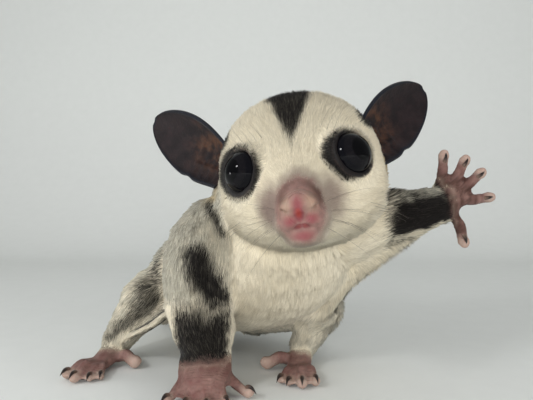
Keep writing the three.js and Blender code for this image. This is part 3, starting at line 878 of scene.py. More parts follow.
FRONT, UP = (0, -1, 0), (0, 0, 1)
TOE_ANGLES = (64, 18, 8, -6, -20)
PAWS = (  # each with its name, side, wrist, height, forward, back, digits and angles first
    Paw("hand_right", Side.RIGHT, (-13.4, 3.2, 9.6), 9.6, (0.05, -1, 0), UP,
        FINGERS, (50, 17, 3, -11, -27), length=12.6, palm=0.93, knuckles=0.72),
    Paw("hand_left", Side.LEFT, (39.9, 6.2, 40.4), 3.4, (0.74, 0.05, 0.67), FRONT,
        FINGERS, (111, 34, 5, -15, -36), length=12.6, palm=0.8, knuckles=0.72,
        drawn_back=1.6, digit_radius=1.5),
    Paw("foot_right", Side.RIGHT, (-40, 22, 4), 4, (-0.14, -1, 0), UP,
        TOES, TOE_ANGLES, length=16.5, palm=0.42),
    Paw("foot_left", Side.LEFT, (8.8, 18.8, 4.1), 4.1, (-0.16, -1, 0), UP,
        TOES, TOE_ANGLES, length=16.5, palm=0.42),
)


@dataclass
class Claws:
    """The claws of one paw: short, curved, and sharp."""

    paw: Paw
    size: float = 2.0
    radius: float = 0.5
    steps: int = 9
    sides: int = 8

    def build(self) -> Object:
        """Makes the paw's claws as one piece.

        Returns:
            The claws.
        """
        clawed = [finger for finger in self.paw.fingers() if finger[0].clawed]
        pieces = [self._claw(tip, radius, root) for _, root, tip, radius in clawed]
        points, faces = joined(pieces)
        mesh = mesh_of(f"claws_{self.paw.name}", points, faces)
        share = np.append(np.repeat(np.linspace(0, 1, self.steps), self.sides), (0, 1))
        along = np.tile(share, len(pieces))
        paint(mesh, "strand", np.stack([along] * 4, axis=1))
        mesh.materials.append(HornFinish().material(f"claw_{self.paw.name}"))
        made = new_object(mesh.name, mesh)
        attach(made, "root")
        return made

    def _claw(self, tip: Array, radius: float, root: Array) -> tuple[Array, Array]:
        """One claw, from the back of the digit's last joint, hooked down past its pad.

        Args:
            tip: the digit's tip, in the paw's own frame.
            radius: the digit's.
            root: the digit's root.

        Returns:
            Its points and triangles.
        """
        out = unit((tip - root) * (1, 1, 0))
        t = np.linspace(0, 1, self.steps)[:, None]
        height = 0.75 * radius + 0.45 * np.sin(2.6 * t) - 1.15 * t * t + 0.5 * self.paw.drawn_back * t
        hook = out * (self.size * (1.25 * t - 0.35) - self.paw.drawn_back) + np.array((0, 0, 1.0)) * height
        path = np.array([self.paw.drawn(tip + point) for point in hook])
        radii = self.radius * (1 - t[:, 0] ** 1.6) + 0.04
        return tube(path, radii, self.sides)


@dataclass
class Ear:
    """A thin cupped leaf with a rolled rim, low ridges and a notch, in millimetres and degrees."""

    side: Side
    lean: float
    lift: float
    turn: float = 18
    length: float = 24.8
    width: float = 14.4
    thick: float = 0.42
    root: Place = (17.87, 26.2, 11.35)
    sink: float = 0.9  # how far out the leaf is set, as a share of its root's distance
    across: int = 64
    along: int = 84

    def __post_init__(self) -> None:
        """Works out how the leaf stands on the head."""
        sign = self.side.value
        angles = (
            ("Z", -sign * (90 - self.lift)),
            ("Y", sign * self.turn),
            ("X", -self.lean),
        )
        stand = Matrix.Rotation(math.pi / 2, 3, "X")
        for axis, angle in angles:
            stand = stand @ Matrix.Rotation(math.radians(angle), 3, axis)
        self.stand = np.array(stand)

    def at(self, u: Array, v: Array, back: Array | float = 0.0) -> Array:
        """Points of the leaf, in the head's frame.

        Args:
            u: from the inner edge, 0, to the outer one, 1.
            v: from the root, 0, to the tip, 1.
            back: how far behind the hollow face, in millimetres.

        Returns:
            One point for each value.
        """
        sign = self.side.value
        low = 0.66 + 0.34 * np.sin(np.minimum(v / 0.45, 1) * math.pi / 2)
        high = np.cos(np.clip((v - 0.45) / 0.56, 0, 1) * math.pi / 2) ** 0.55
        notch = 1 - 0.07 * bell(v - 0.36, 0.05) * rise(u, 0.45, 0.75)
        half = self.width / 2 * np.maximum(np.where(v < 0.45, low, high), 0.1) * notch
        cup = 1.5 - 1.08 * np.sqrt(v)
        radius = half / np.sin(np.minimum(cup, math.pi / 2))
        angle = (2 * u - 1) * cup
        shell = radius + back
        x = sign * np.sin(angle) * shell
        z = radius - np.cos(angle) * shell - 0.12 * self.length * v * v - radius * 0.35 * (1 - v)
        place = np.stack([x, v * self.length, z], axis=-1)
        return place @ self.stand.T + np.array(self.root) * (sign * self.sink, 1, self.sink)

    def _relief(self, u: Array, v: Array) -> Array:
        """How far the hollow face's folds and ridges stand out of the leaf.

        Args:
            u: from the inner edge, 0, to the outer one, 1.
            v: from the root, 0, to the tip, 1.

        Returns:
            Millimetres for each value.
        """
        inside = rise(u, 0.02, 0.12) * (1 - rise(u, 0.88, 0.98))
        low = 1 - rise(v, 0.30, 0.58)
        ribs = 0.16 * np.sin(2 * math.pi * (v * 11 + 0.6 * u)) * rise(v, 0.04, 0.12) * low
        fold = 0.75 * bell(u - 0.66 - 0.25 * v, 0.045) * (1 - rise(v, 0.26, 0.46))
        lobe = 0.6 * bell(u - 0.30, 0.07) * (1 - rise(v, 0.10, 0.24))
        vein = 0.10 * bell(u - 0.46 + 0.1 * v, 0.03) * (1 - rise(v, 0.6, 0.9))
        return inside * (ribs * rise(u, 0.25, 0.5) + fold + lobe + vein)

    def build(self) -> Object:
        """Makes the ear as one closed leaf.

        Returns:
            The ear.
        """
        v, u = np.meshgrid(np.linspace(0, 1, self.along), np.linspace(0, 1, self.across), indexing="ij")
        edge = np.minimum(np.minimum(u, 1 - u) * self.width, (1 - v) * self.length)
        roll = bell(edge, 0.7)
        hollow = self.at(u, v, -self._relief(u, v) - 0.18 * roll)
        behind = self.at(u, v, self.thick * (1 + 0.5 * roll))
        points = from_head(np.vstack([hollow.reshape(-1, 3), behind.reshape(-1, 3)]))
        mesh = mesh_of(f"ear_{self.side.word}_skin", points, self._faces())
        # painted light shining through the thin skin: strong low in the cup, faint on the back
        lit_through = (1 - rise(v, 0.15, 0.62)) * (1 - rise(u, 0.45, 0.95)) * (1 - roll)
        rim = rise(roll, 0.15, 0.9)
        hollow_tint = np.stack([lit_through, rim, self._relief(u, v), np.ones_like(u)], axis=-1)
        behind_tint = np.stack([0.15 * lit_through, rim, 0 * u, 0 * u], axis=-1)
        paint(mesh, "leaf", np.vstack([hollow_tint.reshape(-1, 4), behind_tint.reshape(-1, 4)]))
        mesh.materials.append(EarFinish().material())
        made = new_object(mesh.name, mesh)
        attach(made, "root")
        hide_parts(f"ear_{self.side.word}")
        return made

    def _faces(self) -> Array:
        """The closed leaf's triangles: both faces and the narrow edge between them.

        Returns:
            Point numbers, one triangle to a row.
        """
        row, column = np.meshgrid(np.arange(self.along - 1), np.arange(self.across - 1), indexing="ij")
        a = (row * self.across + column).ravel()
        b, c, d = a + 1, a + 1 + self.across, a + self.across
        back = self.along * self.across
        first = np.stack([columns(a, c, b), columns(a, d, c)]).reshape(-1, 3)
        loop = np.concatenate([
            np.arange(self.across - 1),
            self.across - 1 + self.across * np.arange(self.along - 1),
            back - 1 - np.arange(self.across - 1),
            back - self.across - self.across * np.arange(self.along - 1),
        ])
        after = np.roll(loop, -1)
        rim = [
            columns(loop, after, after + back),
            columns(loop, after + back, loop + back),
        ]
        faces = np.vstack([first, first[:, ::-1] + back, *rim])
        return faces if self.side is Side.LEFT else faces[:, ::-1]


@dataclass(frozen=True)
class WhiskerRow:
    """A row of whiskers on the left of the head, in its own frame and in millimetres."""

    count: int
    root: Place
    step: Place  # from each root to the next
    out: Place
    turn: Place = (0, 0, 0)  # how `out` changes from each to the next
    lengths: tuple[float, float] = (10, 15.5)


PAD_ROWS = tuple(
    WhiskerRow(count, (3.6, 3.2, -0.6 - 1.25 * row), (0.5, 1.5, 0), (0.86, 0.42, 0.28 - 0.30 * row),
               turn=(0, 0.12, 0))
    for row, count in enumerate((4, 4, 4, 1))
)
BROW_ROW = WhiskerRow(4, (6.0, 12.5, 14.5), (1.3, 1.2, -0.4), (0.5, -0.1, 0.9), lengths=(5, 8))
CHEEK_ROW = WhiskerRow(3, (13.5, 15, -2), (0.8, 2, -1), (0.9, 0.1, -0.35), lengths=(6, 9))


@dataclass
class Whiskers:
    """Long stiff hairs from the whisker pads, and a few over the eyes and on the cheeks."""

    rows: tuple[WhiskerRow, ...] = (*PAD_ROWS, BROW_ROW, CHEEK_ROW)
    radius: float = 0.034
    steps: int = 12
    sides: int = 5
    seed: int = 5

    def build(self) -> Object:
        """Makes all the whiskers as one piece.

        Returns:
            The whiskers.
        """
        draw = np.random.default_rng(self.seed)
        pieces = []
        for side in Side:
            for row in self.rows:
                for number in range(row.count):
                    root = np.array(row.root) + number * np.array(row.step)
                    out = np.array(row.out) + number * np.array(row.turn)
                    pieces.append(self._hair(root, out, draw.uniform(*row.lengths), side, draw))
        points, faces = joined(pieces)
        mesh = mesh_of("whiskers", points, faces)
        share = np.append(np.repeat(np.linspace(0, 1, self.steps), self.sides), (0, 1))
        chance = np.repeat(draw.random(len(pieces)), len(share))
        along = np.tile(share, len(pieces))
        paint(mesh, "strand", columns(along, chance, chance, chance))
        mesh.materials.append(WhiskerFinish().material())
        made = new_object("whiskers", mesh)
        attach(made, "root")
        return made

    def _hair(
        self, root: Array, out: Array, length: float, side: Side, draw: np.random.Generator
    ) -> tuple[Array, Array]:
        """One whisker, curved a little down and back.

        Args:
            root: where it leaves the animal's left side, in the head's frame.
            out: the way that it starts.
            length: its length.
            side: the side that it is for.
            draw: where chance comes from.

        Returns:
            Its points and triangles.
        """
        way = unit(out + draw.normal(scale=0.07, size=3))
        bend = np.array((0, 0.25, -0.22)) + draw.normal(scale=0.06, size=3)
        t = np.linspace(0, 1, self.steps)[:, None]
        path = root + way * length * t + bend * length * t * t
        path = from_head(path * (side.value, 1, 1))
        return tube(path, self.radius * (1 - 0.8 * t[:, 0]), self.sides)


@dataclass
class Relief:
    """The bare muzzle's fine forms, drawn in the head's own frame, in millimetres."""

    nostril: Line = ((1.3, -1.95, -0.85), (2.1, -1.7, -1.15), (2.8, -1.1, -1.0), (3.3, -0.4, -0.4))
    philtrum: Line = ((0, -2.3, 1.2), (0, -2.2, -0.6), (0, -0.8, -2.0), (0, 0.2, -3.6))
    wing: Line = ((0.9, -1.3, 2.9), (2.6, -0.7, 2.3), (3.7, 0.2, 1.0), (4.0, 0.7, -0.3))
    mouth: Line = (
        (0, -0.3, -3.55), (0.9, -0.1, -3.75), (1.8, 0.3, -4.25), (2.5, 1.0, -4.9), (3.1, 1.8, -5.6)
    )
    groove: Line = ((1.0, 0, -4.0), (2.9, 1.4, -5.6), (4.6, 3.8, -6.8), (6.6, 7.4, -8.2))
    arc: Line = (
        (-3.4, 0, 1.6), (-2.7, 0, 3.9), (0.1, 0, 5.1), (2.4, 0, 4.1), (3.4, 0, 2.8), (4.3, 0, 0.8)
    )
    lip: Place = (1.9, -0.4, -2.6)
    lower_lip: Place = (0, 1.2, -5.4)

    @staticmethod
    def both(path: Line) -> list[Array]:
        """A path on the left side and its twin on the right."""
        left = curve_through(path, 14)
        return [left, left * (-1, 1, 1)]

    def near(self, points: Array, path: Line, width: float) -> Array:
        """1 on a path or its twin, fading out over about this width."""
        gaps = [path_distance(points, twin)[0] for twin in self.both(path)]
        return bell(np.minimum(*gaps), width)

    def heights(self, points: Array) -> Array:
        """How far the forms raise or sink the muzzle.

        Args:
            points: points of the muzzle, in the head's frame.

        Returns:
            A height for each point, over 0 where it stands out.
        """
        height = 0.45 * bell(gap_to(points, self.lower_lip), 1.7)
        for sign in (-1, 1):
            lip = np.array(self.lip) * (sign, 1, 1)
            height += 0.6 * bell(gap_to(points, lip), 1.25)
        for path in self.both(self.nostril):
            gap, along = path_distance(points, path)
            wide = 0.28 + 0.16 * np.sin(math.pi * along)
            height -= 0.7 * bell(gap, wide)
            height += 0.12 * bell(gap - 1.0, 0.45)
        height -= 0.35 * self.near(points, self.wing, 0.5)
        height -= 0.45 * self.near(points, self.philtrum, 0.32)
        for path in self.both(self.mouth):
            gap, along = path_distance(points, path)
            fade = 1 - rise(along, 0.2, 0.62)
            height -= 0.5 * fade * bell(gap, 0.3)
            height += 0.2 * fade * bell(gap - 0.8, 0.4)
        return height


@dataclass
class Eye:
    """An eyeball with its clear bulge, and the lids' opening round it, in millimetres."""

    side: Side
    radius: float = 4.84
    bulge: float = 0.22
    tilt: float = 24  # degrees that the opening leans, its inner end up
    opening: tuple[float, float] = (4.2, 4.35)  # half sizes across and along the lean
    slide: Place = (-0.4, 0, -0.3)  # the opening's place beside the gaze
    rings: int = 56
    spokes: int = 72

    def __post_init__(self) -> None:
        """Finds the eye's centre and its axes, the third along the gaze, in the head's frame."""
        sign = self.side.value
        self.centre = EYES_IN_HEAD + np.array((sign * EYE_SPREAD, 0, 0))
        gaze = Vector((0.64 * sign, -0.73, 0.22)).normalized()
        lean = Matrix.Rotation(math.radians(sign * self.tilt), 3, "Z")
        self.turn = np.array(Vector((0, 0, 1)).rotation_difference(gaze).to_matrix() @ lean)

    def own(self, points: Array) -> Array:
        """Points of the head's frame in the eye's own."""
        return (points - self.centre) @ self.turn

    def ring(self, points: Array) -> Array:
        """How far points are out from the gaze, where 1 is on the lids' opening.

        Args:
            points: points of the head's frame.

        Returns:
            A share of the opening for each, and far more than 1 behind the ball.
        """
        own = self.own(points - np.array(self.slide))
        reach = np.hypot(*(own[:, :2] / self.opening).T)
        return np.where(own[:, 2] > -1, reach, 9.0)

    def seat(self, points: Array, normals: Array) -> Array:
        """Lids that hug the ball.

        Args:
            points: the skin's points, in the head's frame.
            normals: their outward directions there.

        Returns:
            The points, with the bowl sunk behind the ball's surface and the lids' margin on it.
        """
        own = self.own(points)
        out = np.linalg.norm(own, axis=1)
        reach = self.ring(points)
        close = (out < self.radius + 1.6) & (own[:, 2] > -1)
        bowl = close & (np.sum(own * (normals @ self.turn), axis=1) < 0) & (reach < 1.35)
        margin = self.radius + 0.42 * rise(reach, 0.99, 1.12) - 0.4 * (1 - rise(reach, 0.88, 1.0))
        share = 1 - rise(reach, 1.08, 1.32)
        target = np.where(close, out + share * (margin - out), out)
        target = np.where(bowl, np.minimum(out, self.radius - 0.35), target)
        return self.centre + (own * (target / np.maximum(out, 1e-6))[:, None]) @ self.turn.T

    def build(self) -> Object:
        """Makes the eyeball.

        Returns:
            The eyeball.
        """
        angle = np.linspace(0, math.pi, self.rings + 1)[1:-1]
        turn = np.arange(self.spokes) * 2 * math.pi / self.spokes
        angles, turns = (grid.ravel() for grid in np.meshgrid(angle, turn, indexing="ij"))
        angles, turns = np.append(angles, (0, math.pi)), np.append(turns, (0, 0))
        out = self.radius + self.bulge * bell(angles, 0.55)
        sin = np.sin(angles)
        own = columns(sin * np.cos(turns), sin * np.sin(turns), np.cos(angles)) * out[:, None]
        points = from_head(self.centre + own @ self.turn.T)
        mesh = mesh_of(f"eye_{self.side.word}_ball", points, self._faces())
        share = angles / math.pi * 2
        around = 0.5 + 0.5 * np.sin(turns * 3)
        paint(mesh, "gaze", columns(share, around, around, around))
        mesh.materials.append(EyeFinish().material())
        made = new_object(mesh.name, mesh)
        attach(made, "root")
        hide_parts(f"eye_{self.side.word}")
        return made

    def _faces(self) -> Array:
        """The ball's triangles, with a point at each pole.

        Returns:
            Point numbers, one triangle to a row.
        """
        row, column = np.meshgrid(np.arange(self.rings - 2), np.arange(self.spokes), indexing="ij")
        a = (row * self.spokes + column).ravel()
        b = (row * self.spokes + (column + 1) % self.spokes).ravel()
        j = np.arange(self.spokes)
        last = (self.rings - 2) * self.spokes
        front, rear = last + self.spokes, last + self.spokes + 1
        return np.vstack([
            columns(a, a + self.spokes, b),
            columns(b, a + self.spokes, b + self.spokes),
            columns(np.full(self.spokes, front), j, (j + 1) % self.spokes),
            columns(np.full(self.spokes, rear), last + (j + 1) % self.spokes, last + j),
        ])


class Skin:
    """The one skin inside the flesh nodes, with what each point of it carries."""

    SWELL = 0.22  # closes the gaps between the nodes
    VOXEL = 0.76
    FACE_REACH = (13, 19, 16)  # how far the face's finer mesh goes: sideways, back, and up or down
    FACE_HEIGHT = 4  # how far that mesh's middle is over the nose tip
    MUZZLE_REACH = 8.5

    def __init__(self, eyes: Sequence[Eye], ears: Sequence[Ear]) -> None:
        """Takes the eyes that its lids close round and the ears that stand on it."""
        self.eyes = eyes
        self.ears = ears

    def build(self) -> Object:
        """Makes the skin's mesh, its forms, markings and lie, and its object.

        Returns:
            The skin.
        """
        mesh = self._remeshed(*self._swollen_flesh())
        self._refine(mesh, self._near_face_and_paws)
        self._refine(mesh, self._near_muzzle)
        self._unwrap(mesh)
        self._read(mesh)
        self._seat_on_form()
        self._smooth_form()
        self._shrink()
        self._sculpt()
        self._lay()
        markings = Markings(self)
        self.marks = markings.marks()
        self.tint = markings.tint()
        self.bare = markings.bare()
        return self._write(mesh)

    def _swollen_flesh(self) -> tuple[Array, Array]:
        """The flesh nodes' triangles, welded and swollen until they touch.

        Returns:
            Their points and triangles.
        """
        points, faces, self.face_node = [], [], []
        total = 0
        for number, name in enumerate(FLESH):
            own_points, own_faces = self._welded(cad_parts[name].data)
            points.append(own_points + self.SWELL * normals_of(own_points, own_faces))
            faces.append(own_faces + total)
            self.face_node.append(np.full(len(own_faces), number))
            total += len(own_points)
        self.form_points, self.form_faces = np.vstack(points), np.vstack(faces)
        self.face_node = np.concatenate(self.face_node)
        return self.form_points, self.form_faces

    @staticmethod
    def _welded(mesh: Mesh) -> tuple[Array, Array]:
        """A node's points and triangles, with points that lie together made one.

        Args:
            mesh: the node's mesh.

        Returns:
            The points, as drawn, and the triangles that keep three corners.
        """
        mesh.calc_loop_triangles()
        faces = read(mesh.loop_triangles, "vertices", 3, np.int32)
        drawn = to_drawn(read(mesh.vertices, "co", 3, np.float32).astype(float))
        _, first, number = np.unique(np.round(drawn / 1e-3), axis=0, return_index=True, return_inverse=True)
        faces = number.ravel()[faces]
        whole = (faces[:, 0] != faces[:, 1]) & (faces[:, 1] != faces[:, 2]) & (faces[:, 0] != faces[:, 2])
        return drawn[first], faces[whole]

    def _remeshed(self, points: Array, faces: Array) -> Mesh:
        """One closed mesh of even squares over all the flesh, in drawn millimetres.

        Args:
            points: the swollen flesh's points.
            faces: its triangles.

        Returns:
            The largest body that the voxels give.
        """
        rough = bpy.data.meshes.new("flesh")
        rough.from_pydata(points.tolist(), [], faces.tolist())
        holder = new_object("flesh", rough)
        voxels = holder.modifiers.new("voxels", "REMESH")
        voxels.mode = "VOXEL"
        voxels.voxel_size = self.VOXEL
        whole = bpy.data.meshes.new_from_object(holder.evaluated_get(bpy.context.evaluated_depsgraph_get()))
        bpy.data.objects.remove(holder)
        bpy.data.meshes.remove(rough)
        work = bmesh.new()
        work.from_mesh(whole)
        self._keep_largest(work)
        work.to_mesh(whole)
        work.free()
        return whole

    @staticmethod
    def _keep_largest(work: bmesh.types.BMesh) -> None:
        """Deletes all but the body with the most points.

        Args:
            work: the mesh, changed in place.
        """
        left = set(work.verts)
        bodies = []
        while left:
            body = [left.pop()]
            for vert in body:
                fresh = left & {edge.other_vert(vert) for edge in vert.link_edges}
                left -= fresh
                body.extend(fresh)
            bodies.append(body)
        for body in sorted(bodies, key=len)[:-1]:
            bmesh.ops.delete(work, geom=body, context="VERTS")

    def _near_face_and_paws(self, points: Array) -> Array:
        """Which points lie on the front of the face or on a paw.

        Args:
            points: points as drawn.

        Returns:
            True for each that does.
        """
        head = to_head(points)
        wide, back, high = self.FACE_REACH
        chosen = (np.abs(head[:, 0]) < wide) & (head[:, 1] < back)
        chosen &= np.abs(head[:, 2] - self.FACE_HEIGHT) < high
        for name in ("hand_left", "hand_right", "foot_left", "foot_right"):
            low, high = (to_drawn(np.array(corner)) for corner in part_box(name))
            chosen |= np.all((points > low - 0.5) & (points < high + 0.5), axis=1)
        return chosen

    def _near_muzzle(self, points: Array) -> Array:
        """Which points lie on the bare muzzle or on a lid.

        Args:
            points: points as drawn.

        Returns:
            True for each that does.
        """
        head = to_head(points)
        chosen = gap_to(head, MUZZLE) < self.MUZZLE_REACH
        for eye in self.eyes:
            reach = eye.ring(head)
            chosen |= (reach > 0.8) & (reach < 1.5) & (head[:, 1] < EYES_IN_HEAD[1] + 4)
        return chosen

    @staticmethod
    def _refine(mesh: Mesh, choose: Callable[[Array], Array]) -> None:
        """Splits the edges between the points that `choose` picks, in place.

        Args:
            mesh: the mesh, changed in place.
            choose: says of points which are picked.
        """
        work = bmesh.new()
        work.from_mesh(mesh)
        chosen = choose(np.array([vert.co for vert in work.verts]))
        edges = [edge for edge in work.edges if chosen[edge.verts[0].index] and chosen[edge.verts[1].index]]
        bmesh.ops.subdivide_edges(work, edges=edges, cuts=1, use_grid_fill=True)
        bmesh.ops.triangulate(work, faces=[face for face in work.faces if len(face.verts) > 4])
        work.to_mesh(mesh)
        work.free()

    @staticmethod
    def _unwrap(mesh: Mesh) -> None:
        """Unwraps the skin's own shape into the map OFBake.

        Args:
            mesh: the mesh, changed in place.
        """
        holder = new_object("unwrap", mesh)
        mesh.uv_layers.new(name="OFBake")
        bpy.context.view_layer.objects.active = holder
        holder.select_set(True)
        bpy.ops.object.mode_set(mode="EDIT")
        bpy.ops.mesh.select_all(action="SELECT")
        bpy.ops.uv.smart_project(angle_limit=math.radians(72), island_margin=0.002)
        bpy.ops.object.mode_set(mode="OBJECT")
        bpy.data.objects.remove(holder)

    def _read(self, mesh: Mesh) -> None:
        """Takes the mesh's points, edges, triangles and map into arrays.

        Args:
            mesh: the unwrapped mesh.
        """
        mesh.calc_loop_triangles()
        self.points = read(mesh.vertices, "co", 3)
        self.edges = read(mesh.edges, "vertices", 2, np.int32)
        self.faces = read(mesh.loop_triangles, "vertices", 3, np.int32)
        corners = read(mesh.loop_triangles, "loops", 3, np.int32)
        self.face_map = read(mesh.uv_layers["OFBake"].data, "uv", 2)[corners]

    def _smooth_form(self) -> None:
        """Takes the voxels' steps out, rounds the digits and draws wrists and ankles smooth."""
        for _ in range(5):
            self.points = self.spread(self.points, 1, 0.5)
            self.points = self.spread(self.points, 1, -0.52)
        for paw in PAWS:
            near = self.on(paw.name) > 0.02
            self.points[near] = paw.seat(self.points[near])
        paws = self.spread(self.on("hand", "foot"), 8)
        joint = rise(4 * paws * (1 - paws), 0.1, 0.6)[:, None]
        self.points += joint * (self.spread(self.points, 24) - self.points)
        self.points = self.spread(self.points, 1, 0.4)

    def spread(self, values: Array, rounds: int, strength: float = 0.5) -> Array:
        """Values moved toward the mean of each point's neighbours.

        Args:
            values: one or more values for each point.
            rounds: how often.
            strength: how far each time, as a share of the way.

        Returns:
            The smoothed values.
        """
        count = len(values)
        first, second = self.edges.T
        degree = np.maximum(np.bincount(self.edges.ravel(), minlength=count), 1)
        table = values.reshape(count, -1).astype(float).copy()
        for _ in range(rounds):
            for k in range(table.shape[1]):
                column = table[:, k]
                total = np.bincount(first, column[second], count)
                total += np.bincount(second, column[first], count)
                table[:, k] = column + strength * (total / degree - column)
        return table.reshape(values.shape)

    def _seat_on_form(self) -> None:
        """Moves each point onto the flesh, and keeps the node that it belongs to."""
        tree = BVHTree.FromPolygons(self.form_points.tolist(), self.form_faces.tolist())
        found = [tree.find_nearest(Vector(point)) for point in self.points]
        self.label = self.face_node[np.array([hit[2] for hit in found])]
        place, facing = (np.array([hit[k] for hit in found]) for k in (0, 1))
        agree = np.sum(facing * self.normals(), axis=1) > 0.6
        muzzle = gap_to(to_head(self.points), (0, 4, -4)) < 9
        share = self.spread(0.8 * (agree & ~muzzle), 2)
        self.points += share[:, None] * (place - self.points)

    def on(self, *kinds: str) -> Array:
        """1 on the nodes whose names start with any of these, softened at their borders."""
        wanted = [name.startswith(kinds) for name in FLESH]
        return self.spread(np.array(wanted, float)[self.label], 6)

    def fur_value(self, key: str, rounds: int = 14) -> Array:
        """One size of the fur at each point, smooth from part to part."""
        return self.spread(np.array([getattr(fur_of(name), key) for name in FLESH])[self.label], rounds)

    def _shrink(self) -> None:
        """Draws the form in from the coat's tips to the skin."""
        head = to_head(self.points)
        depth = self.fur_value("depth")
        near_nose = gap_to(head, NOSE_PAD)
        face = 0.08 + 0.055 * np.maximum(near_nose - 3, 0)
        depth = np.where(head[:, 1] < 30, np.minimum(depth, face), depth)
        for eye in self.eyes:
            reach = eye.ring(head)
            depth = np.where(reach < 1.9, np.minimum(depth, 0.12 + 0.5 * np.maximum(reach - 1.2, 0)), depth)
        self.points = self.points - (self.SWELL + self.spread(depth, 4))[:, None] * self.normals()
        self.points = self.spread(self.points, 2, 0.4)

    def normals(self) -> Array:
        """Each point's outward direction."""
        return normals_of(self.points, self.faces)

    def _sculpt(self) -> None:
        """Models the muzzle's fine forms and seats the lids on the eyeballs."""
        relief = Relief()
        head = to_head(self.points)
        close = gap_to(head, MUZZLE) < 11
        groove = np.zeros(len(head))
        groove[close] = np.minimum(1.6 * relief.near(head[close], relief.groove, 1.7), 1)
        self.points += groove[:, None] * (self.spread(self.points, 60) - self.points)
        head = to_head(self.points)
        height = np.zeros(len(head))
        height[close] = relief.heights(head[close])
        self.crease = self._creases()
        height -= 0.10 * self.crease
        self.points = self.points + height[:, None] * self.normals()
        head = to_head(self.points)
        normals = self.normals() @ HEAD_TURN
        for eye in self.eyes:
            head = eye.seat(head, normals)
        self.points = from_head(head)

    def _creases(self) -> Array:
        """1 in the creases across the digits, 0 between them.

        Returns:
            A share for each point of the skin.
        """
        crease = np.zeros(len(self.points))
        for paw in PAWS:
            for digit, root, tip, radius in paw.fingers():
                ends = np.array([paw.drawn(root), paw.drawn(tip)])
                gap, along = path_distance(self.points, ends)
                mine = (gap < 2.2 * radius) & (along > 0.02) & (along < 0.9)
                bands = np.cos(2 * math.pi * along * (5 + 3 * (digit.reach > 0.5))) ** 8
                crease[mine] = np.maximum(crease[mine], bands[mine])
        return crease

    def _lay(self) -> None:
        """Lays the coat: a direction along the skin at each point."""
        middles = {name: self._middle(name) for name in FLESH}
        lie = np.zeros_like(self.points)
        for chain in LIE_CHAINS:
            curve = curve_through([middles[name] for name in chain], 60)
            ways = unit(np.gradient(curve, axis=0))
            mine = np.isin(self.label, [FLESH.index(name) for name in chain])
            gaps = np.linalg.norm(self.points[mine][:, None] - curve[None], axis=2)
            lie[mine] = ways[gaps.argmin(axis=1)]
        head = to_head(self.points)
        of_head = np.isin(self.label, [FLESH.index(name) for name in ("head", "lower_jaw", "nose")])
        lie[of_head] = unit(head[of_head] - (0, -7, 0.5)) @ HEAD_TURN.T
        for side, way in ((Side.LEFT, (0.25, -0.15, -0.95)), (Side.RIGHT, (-0.6, -0.2, -0.75))):
            lie[self.label == FLESH.index(f"membrane_{side.word}")] = way
        normals = self.normals()
        lie = self.spread(lie, 30)
        for eye in self.eyes:
            reach = eye.ring(head)
            away = unit(head - eye.centre) @ HEAD_TURN.T
            share = (1 - rise(reach, 1.3, 2.1))[:, None]
            lie = unit(lie) * (1 - share) + away * share
        lie = lie - np.sum(lie * normals, axis=1, keepdims=True) * normals
        self.lie = unit(self.spread(unit(lie), 4))
        self.normal = normals

    def _middle(self, name: str) -> Array:
        """The middle of a flesh node, as drawn."""
        low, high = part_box(name)
        return to_drawn((np.array(low) + np.array(high)) / 2)

    def _write(self, mesh: Mesh) -> Object:
        """Puts the arrays back into the mesh and makes the skin's object.

        Args:
            mesh: the mesh that the arrays came from.

        Returns:
            The skin.
        """
        mesh.vertices.foreach_set("co", to_frame(self.points).ravel())
        mesh.polygons.foreach_set("use_smooth", np.full(len(mesh.polygons), True))
        mesh.update()
        paint(mesh, "marks", self.marks)
        paint(mesh, "tint", self.tint)
        paint(mesh, "bare", self.bare)
        mesh.materials.append(SkinFinish().material())
        made = new_object("skin", mesh)
        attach(made, "root")
        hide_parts(*FLESH)
        return made


def normals_of(points: Array, faces: Array) -> Array:
    """Each point's outward direction.

    Args:
        points: one point to a row.
        faces: triangles of point numbers, turned outward.

    Returns:
        Directions of length 1.
    """
    a, b, c = (points[faces[:, k]] for k in range(3))
    cross = np.cross(b - a, c - a)
    total = np.zeros_like(points)
    for k in range(3):
        for axis in range(3):
            total[:, axis] += np.bincount(faces[:, k], cross[:, axis], len(points))
    return unit(total)


SHOULDER_RUFF = (26.5, 8, 43.5)  # the middle of the loose fur between the left cheek and arm
RUFF_SPOT = (24.6, 1.0, 42.5)  # a small dark spot at that fur's edge


